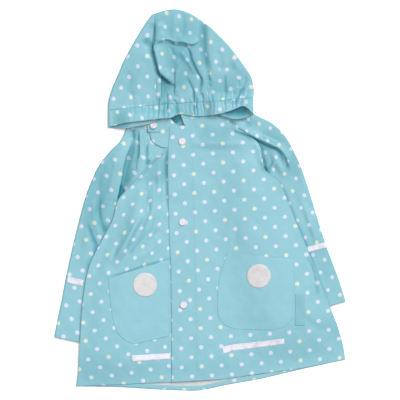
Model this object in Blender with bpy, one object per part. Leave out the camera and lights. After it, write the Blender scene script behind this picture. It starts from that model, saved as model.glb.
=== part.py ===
"""A toddler's hooded raincoat, laid flat on its back with the hood's brim folded down over the neck.

The pieces are those that a maker cuts and sews: a back, two fronts with a button flap, two raglan sleeves,
a hood of a centre strip and two sides with a gathered elastic casing and a neckband, and what is sewn on.
Every cloth piece is a thin wall. The lower layers lie on the floor, the upper ones lie on them, and both roll
round together at the side, arm and crown folds. The sleeves slip under the body's sides, which ride over them.

Tables and sizes are in millimetres. X runs to the wearer's left, Y from hem to crown, Z up from the floor.
The origin is the middle of the coat's outline, on the floor.
"""

import math

import bmesh
import bpy
import numpy as np
from mathutils import Vector

MM = 0.001

# ---- driving sizes ----

CLOTH = 1.2  # wall of every cloth panel
SEAM = 0.3  # gap left between two pieces
SEWN_GAP = 0.6  # gap under a piece sewn flat on a panel
SLEEVE_DEPTH = 4.8  # a flat sleeve, from the floor to its top
BODY_DEPTH = 4.8  # the flat body, from the back's underside to the front's top
HOOD_DEPTH = 6.2  # the flat hood, from its underside to its top
SLEEVE_LIFT = 5.8  # how far the two layers of the body ride up over a sleeve, below the underarm
YOKE_LIFT = 2.4  # how far a front alone rides up over a sleeve, above the underarm
LIFT_LEAD, LIFT_RUN = 6.0, 42.0  # a ride is complete this far inside the sleeve's edge, and takes this long
SHOULDER_LIFT = 9.6  # how far the hood's lower edge rides up over the sleeves' neck ends
NECK_THIN = 1.9  # the fronts lie this much lower at the neck
FLAP_STEP = SEAM + CLOTH  # the button flap lies one cloth above the right front
HEM_TURN = 8.0  # hem allowance turned up inside the back
HEM_INSET = 0.6  # the turned-up band stops this short of the fold
CASING_WALL = 2.4  # two cloths and the elastic between them
TAPE_WALL, TAB_WALL = 1.0, 1.6
BADGE_RADIUS, BADGE_WALL = 21.0, 1.6
SNAP_RADIUS, SNAP_HEIGHT = 6.4, 2.4

# ---- section tables ----
# A row for each section across a piece: one edge's x and y, then the other edge's.

# the right front, from neck to hem: side x, y, centre x, y
FRONT_RIGHT = (
    (-57.5, 88.6, -24.5, 89.5),
    (-68.3, 80.2, -24.5, 80.0),
    (-79.0, 72.0, -24.5, 68.0),
    (-101.5, 48.0, -24.5, 46.0),
    (-122.0, 24.0, -24.2, 24.0),
    (-142.6, 1.0, -24.0, 0.0),
    (-152.4, -33.0, -23.7, -29.0),
    (-165.5, -58.5, -23.4, -53.0),
    (-181.0, -87.5, -23.1, -80.0),
    (-193.0, -113.0, -22.8, -106.0),
    (-200.0, -140.0, -22.5, -132.0),
    (-204.5, -172.0, -22.2, -162.0),
    (-207.8, -205.0, -22.0, -194.0),
    (-209.6, -238.0, -21.7, -226.0),
    (-211.5, -270.0, -21.4, -258.0),
    (-213.4, -300.0, -21.2, -289.0),
    (-217.0, -326.0, -21.0, -317.5),
)
ROLLS_RIGHT = (5, 7)  # its side is a plain edge before the first of these rows, and rolled from the second

# the right front's neck facing, from neck to its curved lower edge
NECK_FACING = (
    (-87.5, 130.0, -24.5, 128.0),
    (-87.5, 117.0, -24.5, 116.0),
    (-85.5, 106.0, -24.5, 105.0),
    (-79.5, 98.8, -24.5, 97.5),
    (-66.0, 93.0, -24.5, 92.0),
)

# the left front, from neck to hem: side x, y, flap seam x, y
FRONT_LEFT = (
    (28.0, 146.0, -15.6, 147.5),
    (42.0, 140.0, -15.4, 134.0),
    (55.0, 133.0, -15.0, 119.0),
    (68.0, 119.5, -14.6, 105.0),
    (94.5, 106.5, -14.0, 92.0),
    (105.5, 92.0, -13.5, 79.0),
    (109.6, 71.0, -13.0, 62.0),
    (114.5, 51.5, -12.5, 45.0),
    (134.0, 35.5, -12.0, 28.0),
    (145.5, 17.0, -11.5, 10.0),
    (155.5, -8.0, -11.0, -13.0),
    (169.8, -43.8, -10.2, -46.0),
    (182.5, -73.0, -9.6, -75.0),
    (196.5, -108.0, -9.0, -108.0),
    (210.5, -145.5, -8.2, -144.0),
    (224.5, -180.0, -7.5, -179.0),
    (238.0, -213.0, -6.8, -214.0),
    (247.0, -241.0, -6.2, -249.0),
    (251.6, -260.0, -5.7, -283.0),
    (254.3, -279.1, -5.3, -316.6),
)
ROLLS_LEFT = (9, 11)

# the button flap, from neck to hem: free edge x, y, seam x, y. Its top corner is stepped
FLAP = (
    (-34.0, 148.0, -15.9, 147.5),
    (-27.5, 130.0, -15.7, 134.0),
    (-53.0, 129.0, -15.5, 126.0),
    (-56.0, 91.0, -14.3, 92.0),
    (-56.5, 52.0, -13.0, 52.0),
    (-55.6, 0.0, -11.6, 0.0),
    (-53.9, -70.0, -10.0, -70.0),
    (-51.3, -114.0, -9.2, -114.0),
    (-50.4, -175.0, -7.9, -175.0),
    (-50.0, -245.0, -6.6, -245.0),
    (-49.9, -319.0, -5.6, -316.6),
)

# the back, from neck to hem: right edge x, y, left edge x, y
BACK = (
    (-60.0, 142.5, 29.0, 146.8),
    (-64.0, 118.0, 45.0, 130.0),
    (-70.0, 92.0, 66.0, 110.0),
    (-84.0, 62.0, 84.0, 92.0),
    (-102.0, 32.0, 99.0, 72.0),
    (-104.0, 4.0, 98.5, 50.0),
    (-124.0, -30.0, 116.0, 20.0),
    (-165.5, -58.5, 155.5, -8.0),
    (-181.0, -87.5, 169.8, -43.8),
    (-193.0, -113.0, 182.5, -73.0),
    (-200.0, -140.0, 196.5, -108.0),
    (-204.5, -172.0, 210.5, -145.5),
    (-207.8, -205.0, 224.5, -180.0),
    (-209.6, -238.0, 238.0, -213.0),
    (-211.5, -270.0, 247.0, -241.0),
    (-213.4, -300.0, 251.6, -260.0),
    (-217.0, -326.0, 254.3, -279.1),
)
ROLLS_BACK = (6, 7)

# the hems' lines: x, y
BACK_HEM = (
    (-217.0, -326.0),
    (-136.5, -327.3),
    (-77.5, -331.3),
    (-10.5, -333.6),
    (17.5, -330.0),
    (45.5, -323.8),
    (108.5, -312.4),
    (171.5, -297.5),
    (254.3, -279.1),
)
LEFT_HEM = (
    (-5.3, -316.6),
    (17.5, -315.2),
    (46.2, -312.9),
    (108.5, -303.6),
    (171.5, -295.5),
    (254.3, -279.1),
)

# the sleeves, from neck to cuff: outer x, y, upper layer's inner x, y, lower layer's inner x, y, share closed
SLEEVE_RIGHT = (
    (-127.8, 134.0, -60.0, 139.0, -61.5, 139.0, 0.0),
    (-130.5, 122.0, -62.0, 118.0, -65.6, 118.0, 0.0),
    (-140.0, 103.0, -66.0, 90.0, -71.6, 92.0, 0.0),
    (-157.5, 85.5, -74.0, 62.0, -86.0, 62.0, 0.0),
    (-176.5, 61.0, -95.0, 35.0, -106.5, 32.0, 0.0),
    (-189.0, 35.0, -112.0, 5.0, -112.0, 5.0, 0.6),
    (-199.5, 8.0, -106.0, -22.0, -106.0, -22.0, 1.0),
    (-207.5, -21.0, -108.5, -49.0, -108.5, -49.0, 1.0),
    (-217.0, -58.0, -117.0, -84.0, -117.0, -84.0, 1.0),
    (-225.8, -96.0, -126.0, -121.0, -126.0, -121.0, 1.0),
    (-234.5, -136.0, -134.0, -159.0, -134.0, -159.0, 1.0),
    (-241.5, -173.0, -141.0, -195.0, -141.0, -195.0, 1.0),
    (-248.5, -206.5, -145.5, -228.0, -145.5, -228.0, 1.0),
    (-255.0, -239.5, -150.5, -262.0, -150.5, -262.0, 1.0),
)
SLEEVE_LEFT = (
    (92.5, 152.0, 32.0, 148.0, 31.5, 148.5, 0.0),
    (104.0, 145.5, 44.0, 134.0, 47.0, 131.0, 0.0),
    (122.5, 136.5, 62.0, 112.0, 68.0, 110.0, 0.0),
    (140.0, 122.5, 82.0, 96.0, 86.0, 92.0, 0.0),
    (154.5, 103.5, 96.0, 80.0, 102.5, 72.0, 0.0),
    (166.5, 80.5, 103.0, 57.0, 103.0, 57.0, 0.6),
    (177.0, 57.0, 97.0, 33.0, 97.0, 33.0, 1.0),
    (187.5, 26.0, 92.0, -2.0, 92.0, -2.0, 1.0),
    (197.0, -4.0, 98.0, -31.5, 98.0, -31.5, 1.0),
    (208.0, -40.0, 107.0, -68.0, 107.0, -68.0, 1.0),
    (220.5, -79.0, 118.0, -107.5, 118.0, -107.5, 1.0),
    (233.0, -112.5, 130.0, -141.0, 130.0, -141.0, 1.0),
    (244.5, -143.5, 140.0, -173.0, 140.0, -173.0, 1.0),
    (255.0, -177.5, 151.0, -207.0, 151.0, -207.0, 1.0),
)

# the hood's sides, from the casing's line to the crown: outline x, y, seam x, y
HOOD_RIGHT = (
    (-160.7, 151.5, -76.0, 165.0),
    (-161.0, 165.0, -76.5, 180.0),
    (-158.5, 180.0, -77.0, 196.0),
    (-153.0, 197.0, -77.6, 214.0),
    (-143.5, 219.0, -78.2, 234.0),
    (-132.5, 245.0, -78.9, 256.0),
    (-118.5, 271.0, -79.5, 276.0),
    (-105.0, 294.0, -80.0, 294.0),
    (-93.5, 312.0, -80.4, 307.0),
    (-84.6, 323.5, -80.7, 315.0),
)
HOOD_LEFT = (
    (92.6, 175.0, 14.5, 171.5),
    (94.3, 186.0, 13.5, 185.0),
    (93.5, 200.0, 12.6, 199.0),
    (89.5, 216.0, 11.6, 214.0),
    (80.5, 230.0, 10.5, 230.0),
    (70.0, 245.0, 9.3, 247.0),
    (57.5, 261.5, 8.0, 264.0),
    (45.0, 276.0, 6.8, 280.0),
    (21.5, 299.5, 5.3, 293.0),
    (9.0, 308.6, 4.7, 300.0),
)
# the hood's two seams, from the casing's line to the crown: x, y
SEAM_RIGHT = ((-76.0, 165.0), (-80.4, 325.5))
SEAM_LEFT = ((14.5, 171.5), (4.4, 312.5))
# the hood's crown fold, from the right seam to the left one: x, y
CROWN = ((-80.4, 325.5), (-64.0, 331.0), (-47.0, 333.7), (-30.0, 331.0), (-12.0, 323.5), (4.4, 312.5))

# the line where the casing and the neckband meet the hood's panels: x, y
CASING_LINE = ((-160.7, 151.5), (-76.0, 165.0), (14.5, 171.5), (92.6, 175.0))
# the casing's free lower edge: x, y
CASING_EDGE = (
    (-158.6, 127.2),
    (-132.3, 133.5),
    (-97.3, 137.7),
    (-70.0, 141.0),
    (-52.5, 142.1),
    (-42.0, 147.0),
    (-34.0, 149.2),
    (-22.0, 147.2),
    (0.9, 145.6),
    (32.9, 149.3),
    (57.0, 156.5),
    (73.5, 163.3),
    (82.0, 160.3),
    (90.5, 151.5),
)
# the neckband's free lower edge: x, y
NECKBAND_EDGE = (
    (-158.6, 126.7),
    (-143.5, 125.2),
    (-127.0, 125.6),
    (-112.0, 128.4),
    (-87.5, 132.6),
    (-63.0, 143.0),
    (-43.8, 145.4),
    (8.8, 147.6),
    (30.0, 148.0),
    (43.0, 145.4),
    (56.4, 141.6),
    (68.0, 141.4),
    (80.5, 143.6),
    (90.0, 148.9),
)

# the pockets, from mouth to bottom: outer x, y, inner x, y
POCKET_RIGHT = (
    (-160.3, -136.3, -53.4, -104.1),
    (-158.9, -157.5, -53.0, -126.0),
    (-156.6, -178.5, -52.6, -148.8),
    (-154.0, -199.5, -52.2, -175.0),
    (-148.8, -220.5, -52.0, -199.5),
    (-140.9, -236.3, -51.9, -218.0),
    (-126.0, -247.5, -51.8, -230.0),
    (-112.0, -251.5, -51.8, -237.0),
)
POCKET_LEFT = (
    (164.3, -104.3, 48.5, -91.9),
    (164.9, -124.3, 41.1, -112.0),
    (165.2, -144.4, 35.4, -132.1),
    (165.0, -164.5, 31.2, -152.3),
    (164.7, -182.0, 30.3, -173.3),
    (163.8, -197.0, 30.5, -194.3),
    (158.3, -210.0, 35.0, -210.0),
    (145.3, -221.9, 50.4, -221.9),
    (119.0, -227.0, 76.0, -226.6),
)
# what is sewn flat on a panel, a row for each section across it: x, y, x, y
NECK_TAB = ((-93.0, 134.5, -71.0, 134.5), (-92.5, 128.0, -70.0, 128.0), (-91.5, 118.0, -69.0, 118.0))
LABEL = ((166.2, -164.5, 181.5, -163.0), (166.0, -192.0, 183.5, -192.0), (165.5, -219.0, 183.0, -219.5))
SLEEVE_TAPE_RIGHT = ((-231.2, -133.5, -232.6, -144.6), (-216.8, -137.1, -217.8, -148.0), (-203.5, -140.2, -205.5, -150.8))
SLEEVE_TAPE_LEFT = ((186.5, -81.9, 189.5, -91.5), (202.0, -78.0, 205.0, -87.5), (218.2, -73.9, 221.2, -83.5))
HEM_TAPE_RIGHT = ((-119.9, -271.6, -118.0, -282.3), (-86.0, -269.6, -85.0, -280.2), (-52.0, -267.6, -52.0, -278.2))
HEM_TAPE_LEFT = (
    (38.0, -256.6, 41.0, -268.8),
    (58.0, -252.4, 60.0, -263.6),
    (78.8, -250.3, 78.8, -261.1),
    (114.5, -245.7, 115.0, -256.3),
    (147.0, -241.8, 147.5, -251.8),
)

# discs: x, y
BADGE_RIGHT = (-95.9, -147.9)
BADGE_LEFT = (102.6, -132.7)
SNAPS = {"snap_neck": (-81.4, 127.3), "snap_top": (-31.2, 102.0), "snap_middle": (-30.5, -39.0), "snap_bottom": (-28.9, -183.4)}

# the largest folds, with the cloth that each is in:
# start x, y, middle x, y, end x, y, half width, height (a trough is below zero)
FOLDS = {
    "front_right": (
        (-63, 78, -63, 35, -62, -12, 7, -1.8),
        (-86, 34, -92, -8, -104, -52, 9, -1.8),
        (-104, 8, -121, -52, -143, -106, 10, 3.6),
        (-80, -18, -97, -62, -126, -102, 9, 2.8),
        (-92, -56, -112, -84, -136, -112, 7, -1.6),
    ),
    "front_left": (
        (-16, 91, 30, 88, 82, 91, 8, -1.8),
        (-10, 104, 36, 103, 74, 107, 9, 1.8),
        (60, -30, 95, -60, 120, -84, 14, 1.2),
    ),
    "sleeve_right": (
        (-119, 122, -129, 66, -142, 8, 7, -1.8),
        (-108, 124, -112, 84, -124, 40, 6, 3.0),
        (-94, 122, -95, 92, -103, 62, 6, 2.6),
        (-142, 96, -156, 50, -166, 0, 10, 2.2),
        (-182, -8, -190, -52, -205, -104, 10, 2.0),
        (-168, 30, -178, -12, -188, -40, 7, -1.4),
    ),
    "sleeve_left": (
        (95, 112, 118, 102, 142, 86, 6, 3.4),
        (142, 86, 152, 72, 158, 50, 7, 2.6),
        (128, 78, 138, 60, 150, 40, 8, 2.6),
        (118, 84, 126, 64, 132, 50, 6, -1.6),
        (172, 18, 188, -30, 206, -86, 8, 1.8),
    ),
    "hood_right": (
        (-150, 190, -128, 230, -100, 280, 14, 1.6),
        (-118, 170, -112, 196, -100, 226, 12, 1.8),
    ),
    "hood_centre": (
        (-74, 300, -72, 262, -60, 226, 9, 3.4),
        (-60, 226, -50, 214, -40, 208, 8, 2.8),
        (-66, 270, -30, 274, 2, 270, 7, -1.6),
        (-72, 288, -36, 292, 4, 286, 12, 3.4),
        (-44, 262, -22, 232, -10, 198, 7, 2.8),
        (-10, 198, -12, 188, -14, 176, 7, 2.4),
        (-56, 200, -60, 186, -62, 172, 6, -1.6),
    ),
    "hood_left": (
        (22, 284, 24, 240, 22, 206, 9, -1.6),
        (40, 276, 52, 250, 72, 226, 16, 1.8),
        (72, 214, 66, 198, 60, 180, 7, 2.6),
    ),
}

# groups of gathers along the casing: from x, to x, waves, height
GATHERS = (
    (-146.0, -92.0, 3, 0.7),
    (-92.0, -34.0, 8, 1.8),
    (-34.0, 24.0, 5, 1.5),
    (24.0, 88.0, 7, 1.6),
)
GATHER_RUN = 42.0  # how far the gathers reach up the hood

# ---- curves and distances ----


def smooth_rows(table, each):
    """Rows on a smooth curve through all of the table's rows, each of its steps divided evenly."""
    rows = np.asarray(table, float)
    ends = np.vstack([2 * rows[0] - rows[1], rows, 2 * rows[-1] - rows[-2]])
    at = np.linspace(0, len(rows) - 1, (len(rows) - 1) * each + 1)
    i = np.minimum(at.astype(int), len(rows) - 2)
    t = (at - i)[:, None]
    a, b, c, d = ends[i], ends[i + 1], ends[i + 2], ends[i + 3]
    return 0.5 * (2 * b + (c - a) * t + (2 * a - 5 * b + 4 * c - d) * t**2 + (3 * b - 3 * c + d - a) * t**3)


def straight_rows(table, each):
    """The table's rows with each step between two of them divided evenly."""
    rows = np.asarray(table, float)
    at = np.linspace(0, len(rows) - 1, (len(rows) - 1) * each + 1)
    return np.stack([np.interp(at, range(len(rows)), column) for column in rows.T], axis=1)


def on_curve(table, x):
    """The y of an edge given as rows of x and y, at each x."""
    curve = smooth_rows(table, 12)
    return np.interp(x, curve[:, 0], curve[:, 1])


def ease(low, high, value):
    """Zero below low, one above high, and a smooth step between."""
    t = np.clip((value - low) / (high - low), 0.0, 1.0)
    return t * t * (3 - 2 * t)


def near(path, x, y):
    """Distance to a path, which side of it (+ on its left), and the share of the way along it."""
    lengths = [math.dist(p, q) for p, q in zip(path[:-1], path[1:])]
    best, side, along = np.full(np.shape(x), 1e9), np.zeros(np.shape(x)), np.zeros(np.shape(x))
    done = 0.0
    for (x0, y0), (x1, y1), length in zip(path[:-1], path[1:], lengths):
        dx, dy = (x1 - x0) / length, (y1 - y0) / length
        t = np.clip((x - x0) * dx + (y - y0) * dy, 0, length)
        off_x, off_y = x - x0 - t * dx, y - y0 - t * dy
        gap = np.hypot(off_x, off_y)
        closer = gap < best
        best = np.where(closer, gap, best)
        side = np.where(closer, np.sign(dx * off_y - dy * off_x), side)
        along = np.where(closer, (done + t) / sum(lengths), along)
        done += length
    return best, side, along


def folds(cloth, x, y):
    """The height that the cloth's folds add at each point."""
    total = np.zeros(np.shape(x))
    for x0, y0, x1, y1, x2, y2, width, height in FOLDS[cloth]:
        gap, _, along = near(((x0, y0), (x1, y1), (x2, y2)), x, y)
        total = total + height * np.exp(-((gap / width) ** 2)) * np.sin(math.pi * (0.08 + 0.84 * along)) ** 0.7
    return total


def gathers(x):
    """The height of the casing's gathers at each x."""
    total = np.zeros(np.shape(x))
    for start, end, waves, height in GATHERS:
        turns = (x - start) / (end - start) * waves
        total = total + np.where((x > start) & (x < end), height * (0.5 - 0.5 * np.cos(2 * math.pi * turns)), 0.0)
    return total


# ---- how high each layer lies ----


def over_sleeve(table, sign, x, y):
    """One where a sleeve lies underneath, zero well clear of it. sign is + for the left sleeve."""
    gap, side, _ = near([(row[2], row[3]) for row in table], x, y)
    outward = np.where(side * sign > 0, gap, -gap)
    x0, y0, x1, y1 = table[-1][:4]
    beyond = sign * ((x1 - x0) * (y - y0) - (y1 - y0) * (x - x0)) / math.dist((x0, y0), (x1, y1))
    return ease(-LIFT_LEAD - LIFT_RUN, -LIFT_LEAD, outward) * (1 - ease(2.0, 58.0, beyond))


def below_underarm(x, y):
    """Zero at the yoke and one below the underarms, which are at different heights on the two sides."""
    low = np.interp(x, (-60.0, 60.0), (6.0, 54.0))
    return 1 - ease(low, low + 28.0, y)


def over_sleeves(x, y):
    return np.maximum(over_sleeve(SLEEVE_RIGHT, -1, x, y), over_sleeve(SLEEVE_LEFT, 1, x, y))


def front_lift(x, y):
    return over_sleeves(x, y) * (YOKE_LIFT + (SLEEVE_LIFT - YOKE_LIFT) * below_underarm(x, y))


def back_lift(x, y):
    return over_sleeves(x, y) * SLEEVE_LIFT * below_underarm(x, y)


def body_top(x, y):
    return front_lift(x, y) + BODY_DEPTH - NECK_THIN * ease(104.0, 126.0, y) * (1 - over_sleeves(x, y))


def right_front_top(x, y):
    return body_top(x, y) + folds("front_right", x, y) * (1 - ease(-66.0, -57.0, x))


def flap_top(x, y):
    return body_top(x, y) + FLAP_STEP


def left_front_top(x, y):
    from_seam = x - np.interp(y, (-317.0, 131.0), (-5.3, -15.6))
    step = FLAP_STEP * (1 - ease(2.0, 60.0, from_seam))
    return body_top(x, y) + step + folds("front_left", x, y) * ease(0.0, 12.0, from_seam)


def sleeve_bottom(x, y):
    return np.zeros(np.shape(x))


def sleeve_top(name):
    return lambda x, y: SLEEVE_DEPTH + folds(name, x, y)


def casing_line(x):
    return np.interp(x, *np.transpose(CASING_LINE))


def hood_bottom(x, y):
    """The hood's underside: on the floor, and up over the sleeves' neck ends."""
    right = (1 - ease(-56.0, -36.0, x)) * (1 - ease(144.0, 168.0, y)) * (0.4 + 0.6 * ease(-165.0, -128.0, x))
    left = ease(8.0, 28.0, x) * (1 - ease(162.0, 190.0, y))
    return SHOULDER_LIFT * np.maximum(right, left)


def hood_top(cloth):
    def top(x, y):
        above = y - casing_line(x)
        gathered = gathers(x) * (1 - ease(0.0, GATHER_RUN, above))
        return hood_bottom(x, y) + HOOD_DEPTH + gathered + folds(cloth, x, y) * ease(0.0, 24.0, above)

    return top


def casing_top(x, y):
    middle = ease(-60.0, -44.0, x) * (1 - ease(12.0, 30.0, x))
    return hood_bottom(x, y) + HOOD_DEPTH + gathers(x) + 2.4 * middle * ease(4.0, 20.0, casing_line(x) - y)


# ---- walls from grids of points ----

ROLL = [math.radians(a) for a in (0, 38)]  # where the columns of a rolled edge stand, before its flat starts


def layer(starts, ends, height, depth, look, columns, rolls, wall=CLOTH, place=None):
    """Outer and inner grids of one layer, a row for each section between its two edges.

    height is the outer face's function of x and y. look is 1 where that face looks up and -1 where it looks
    down. depth is that of the pair of layers which roll together, and rolls gives, for each row, how far its
    start and its end are rolled, from 0 to 1. place moves a row's points in plan: its share, x and y in, x
    and y out.
    """
    radius = depth / 2
    outer, inner = [], []
    for row, (start, end) in enumerate(zip(starts, ends)):
        start, end = np.asarray(start, float), np.asarray(end, float)
        length = math.dist(start, end)
        # each column: the outer face's way in and drop, the inner face's way in and drop
        flat = [(w, 0.0, w, wall) for w in np.linspace(radius, length - radius, columns)]
        edges = ([], [])
        for angle in ROLL:
            out_in, out_drop = radius * (1 - math.cos(angle)), radius * (1 - math.sin(angle))
            in_in, in_drop = radius - (radius - wall) * math.cos(angle), radius - (radius - wall) * math.sin(angle)
            for share, edge in zip(rolls[row], edges):
                edge.append(
                    (out_in, share * out_drop, out_in + share * (in_in - out_in), wall + share * (in_drop - wall))
                )
        far = [(length - a, b, length - c, d) for a, b, c, d in reversed(edges[1])]
        line = np.array(edges[0] + flat + far)
        for way, drop, grid in ((line[:, 0], line[:, 1], outer), (line[:, 2], line[:, 3], inner)):
            x, y = (start[:, None] + (end - start)[:, None] / length * way).tolist()
            x, y = np.array(x), np.array(y)
            if place:
                x, y = place(row / (len(starts) - 1), x, y)
            grid.append(np.stack([x, y, height(x, y) - look * drop], axis=1))
    return np.array(outer), np.array(inner)


def folded_over(lower, upper):
    """One pair of grids from a lower and an upper layer that roll round into each other at their first columns."""
    both = []
    for low, high in zip(lower, upper):
        edge = (low[:, :1] + high[:, :1]) / 2
        both.append(np.concatenate([low[:, :0:-1], edge, high[:, 1:]], axis=1))
    return both


def solid(name, grids, cloth):
    """A closed wall between an outer and an inner grid of points."""
    rows, columns = grids[0].shape[:2]
    mesh = bmesh.new()
    faces = [[[mesh.verts.new(p * MM) for p in row] for row in grid] for grid in grids]
    for grid in faces:
        for r in range(rows - 1):
            for c in range(columns - 1):
                a, b, d, e = grid[r][c], grid[r][c + 1], grid[r + 1][c + 1], grid[r + 1][c]
                mesh.faces.new((a, b, d))
                mesh.faces.new((a, d, e))
    over, under = faces
    around = [(0, c) for c in range(columns)] + [(r, columns - 1) for r in range(1, rows)]
    around += [(rows - 1, c) for c in range(columns - 2, -1, -1)] + [(r, 0) for r in range(rows - 2, 0, -1)]
    for (r, c), (s, d) in zip(around, around[1:] + around[:1]):
        mesh.faces.new((over[r][c], over[s][d], under[s][d], under[r][c]))
    finish(name, mesh, cloth)


def finish(name, mesh, cloth):
    """Turns a bmesh into a named object with outward faces."""
    bmesh.ops.recalc_face_normals(mesh, faces=mesh.faces)
    data = bpy.data.meshes.new(name)
    mesh.to_mesh(data)
    mesh.free()
    data.shade_smooth()
    data.set_sharp_from_angle(angle=math.radians(40))
    data.materials.append(cloth)
    made = bpy.data.objects.new(name, data)
    bpy.context.scene.collection.objects.link(made)


def material(name, colour, roughness, metallic=0.0):
    made = bpy.data.materials.new(name)
    made.use_nodes = True
    shader = made.node_tree.nodes["Principled BSDF"]
    shader.inputs["Base Color"].default_value = (*colour, 1.0)
    shader.inputs["Roughness"].default_value = roughness
    shader.inputs["Metallic"].default_value = metallic
    return made


# ---- the pieces ----


def rolled_sides(table, rows, span, both=False):
    """For each row, how far its start (and its end, if both) is rolled: from none to all over a span of rows."""
    share = ease(*span, np.linspace(0, len(table) - 1, rows))
    return np.stack([share, share if both else 0 * share], axis=1)


def plain_sides(rows):
    return np.zeros((rows, 2))


def to_hem(last, hem):
    """Moves a panel's sections so that the last one lies on the hem's line."""
    x0, y0, x1, y1 = last

    def place(share, x, y):
        straight = y0 + (y1 - y0) * (x - x0) / (x1 - x0)
        return x, y + share**4 * (on_curve(hem, x) - straight)

    return place


def front_right(cloth):
    sections = smooth_rows(FRONT_RIGHT, 2)
    rolls = rolled_sides(FRONT_RIGHT, len(sections), ROLLS_RIGHT)
    pair = layer(sections[:, :2], sections[:, 2:], right_front_top, BODY_DEPTH - SEAM, 1, 15, rolls)
    solid("front_right", pair, cloth)


def neck_facing(cloth):
    sections = smooth_rows(NECK_FACING, 2)
    pair = layer(
        sections[:, :2], sections[:, 2:], right_front_top, 2 * CLOTH, 1, 6, plain_sides(len(sections))
    )
    solid("neck_facing", pair, cloth)


def front_left(cloth):
    sections = smooth_rows(FRONT_LEFT, 2)
    rolls = rolled_sides(FRONT_LEFT, len(sections), ROLLS_LEFT)
    place = to_hem(FRONT_LEFT[-1], LEFT_HEM)
    pair = layer(
        sections[:, :2], sections[:, 2:], left_front_top, BODY_DEPTH - SEAM, 1, 16, rolls, place=place
    )
    solid("front_left", pair, cloth)


def flap(cloth):
    sections = straight_rows(FLAP, 3)
    pair = layer(sections[:, :2], sections[:, 2:], flap_top, 2 * CLOTH, 1, 3, plain_sides(len(sections)))
    solid("front_flap", pair, cloth)


def back(cloth):
    sections = smooth_rows(BACK, 2)
    rolls = rolled_sides(BACK, len(sections), ROLLS_BACK, both=True)
    place = to_hem(BACK[-1], BACK_HEM)
    pair = layer(
        sections[:, :2], sections[:, 2:], back_lift, BODY_DEPTH - SEAM, -1, 27, rolls, place=place
    )
    solid("back", pair, cloth)


def sleeve(name, table, cloth):
    sections = smooth_rows(table, 2)
    rolls = np.stack([np.ones(len(sections)), np.clip(sections[:, 6], 0, 1)], axis=1)
    depth = SLEEVE_DEPTH - SEAM
    lower = layer(sections[:, :2], sections[:, 4:6], sleeve_bottom, depth, -1, 3, rolls)
    upper = layer(sections[:, :2], sections[:, 2:4], sleeve_top(name), depth, 1, 8, rolls)
    solid(name, folded_over(lower, upper), cloth)


def on_seam(seam, y):
    (x0, y0), (x1, y1) = seam
    return x0 + (x1 - x0) * (y - y0) / (y1 - y0)


def hood_side(name, table, seam, away, cloth):
    sections = smooth_rows(table, 2)
    sections[:, 2] = on_seam(seam, sections[:, 3]) + away * SEAM / 2
    rolls = np.stack([np.ones(len(sections)), np.zeros(len(sections))], axis=1)
    depth = HOOD_DEPTH - SEAM
    lower = layer(sections[:, :2], sections[:, 2:], hood_bottom, depth, -1, 4, rolls)
    upper = layer(sections[:, :2], sections[:, 2:], hood_top(name), depth, 1, 7, rolls)
    solid(name, folded_over(lower, upper), cloth)


def hood_centre(cloth):
    across = np.linspace(0, 1, 15)[:, None]
    (right_end, right_crown), (left_end, left_crown) = np.array(SEAM_RIGHT), np.array(SEAM_LEFT)
    gap = np.array([SEAM / 2, 0])
    crown = right_crown + gap + across * (left_crown - right_crown - 2 * gap)
    ends = right_end + gap + across * (left_end - right_end - 2 * gap)
    crown[:, 1], ends[:, 1] = on_curve(CROWN, crown[:, 0]), casing_line(ends[:, 0])
    rolls = np.stack([np.ones(15), np.zeros(15)], axis=1)
    depth = HOOD_DEPTH - SEAM
    lower = layer(crown, ends, hood_bottom, depth, -1, 4, rolls)
    upper = layer(crown, ends, hood_top("hood_centre"), depth, 1, 13, rolls)
    solid("hood_centre", folded_over(lower, upper), cloth)


def edge_strip(name, edge, top, look, wall, rows, columns, cloth):
    """The casing or the neckband: from its free edge up to the casing's line, rolled down at both ends."""

    def place(share, x, y):
        free, seam = on_curve(edge, x), casing_line(x) - SEAM
        return x, free + share * (seam - free)

    starts = [(CASING_LINE[0][0] + 0.8, 0.0)] * rows
    ends = [(CASING_LINE[-1][0] - 0.8, 0.0)] * rows
    pair = layer(starts, ends, top, HOOD_DEPTH - SEAM, look, columns, np.ones((rows, 2)), wall, place)
    solid(name, pair, cloth)


def back_hem(cloth):
    """The hem allowance of the back, turned up on its inside."""

    def place(share, x, y):
        return x, on_curve(BACK_HEM, x) + HEM_INSET + share * HEM_TURN

    pair = layer(
        [(-210.0, 0.0)] * 2,
        [(247.0, 0.0)] * 2,
        lambda x, y: back_lift(x, y) + 2 * CLOTH + SEWN_GAP,
        2 * CLOTH,
        1,
        28,
        plain_sides(2),
        CLOTH,
        place,
    )
    solid("back_hem", pair, cloth)


def patch(name, table, each, columns, under, wall, cloth):
    """A flat piece sewn on a panel: the panel's own points, moved out."""
    sections = smooth_rows(table, each)
    top = lambda x, y: under(x, y) + SEWN_GAP + wall
    pair = layer(sections[:, :2], sections[:, 2:], top, 2 * wall, 1, columns, plain_sides(len(sections)), wall)
    solid(name, pair, cloth)


def on_pocket(under):
    return lambda x, y: under(x, y) + SEWN_GAP + CLOTH


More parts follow.
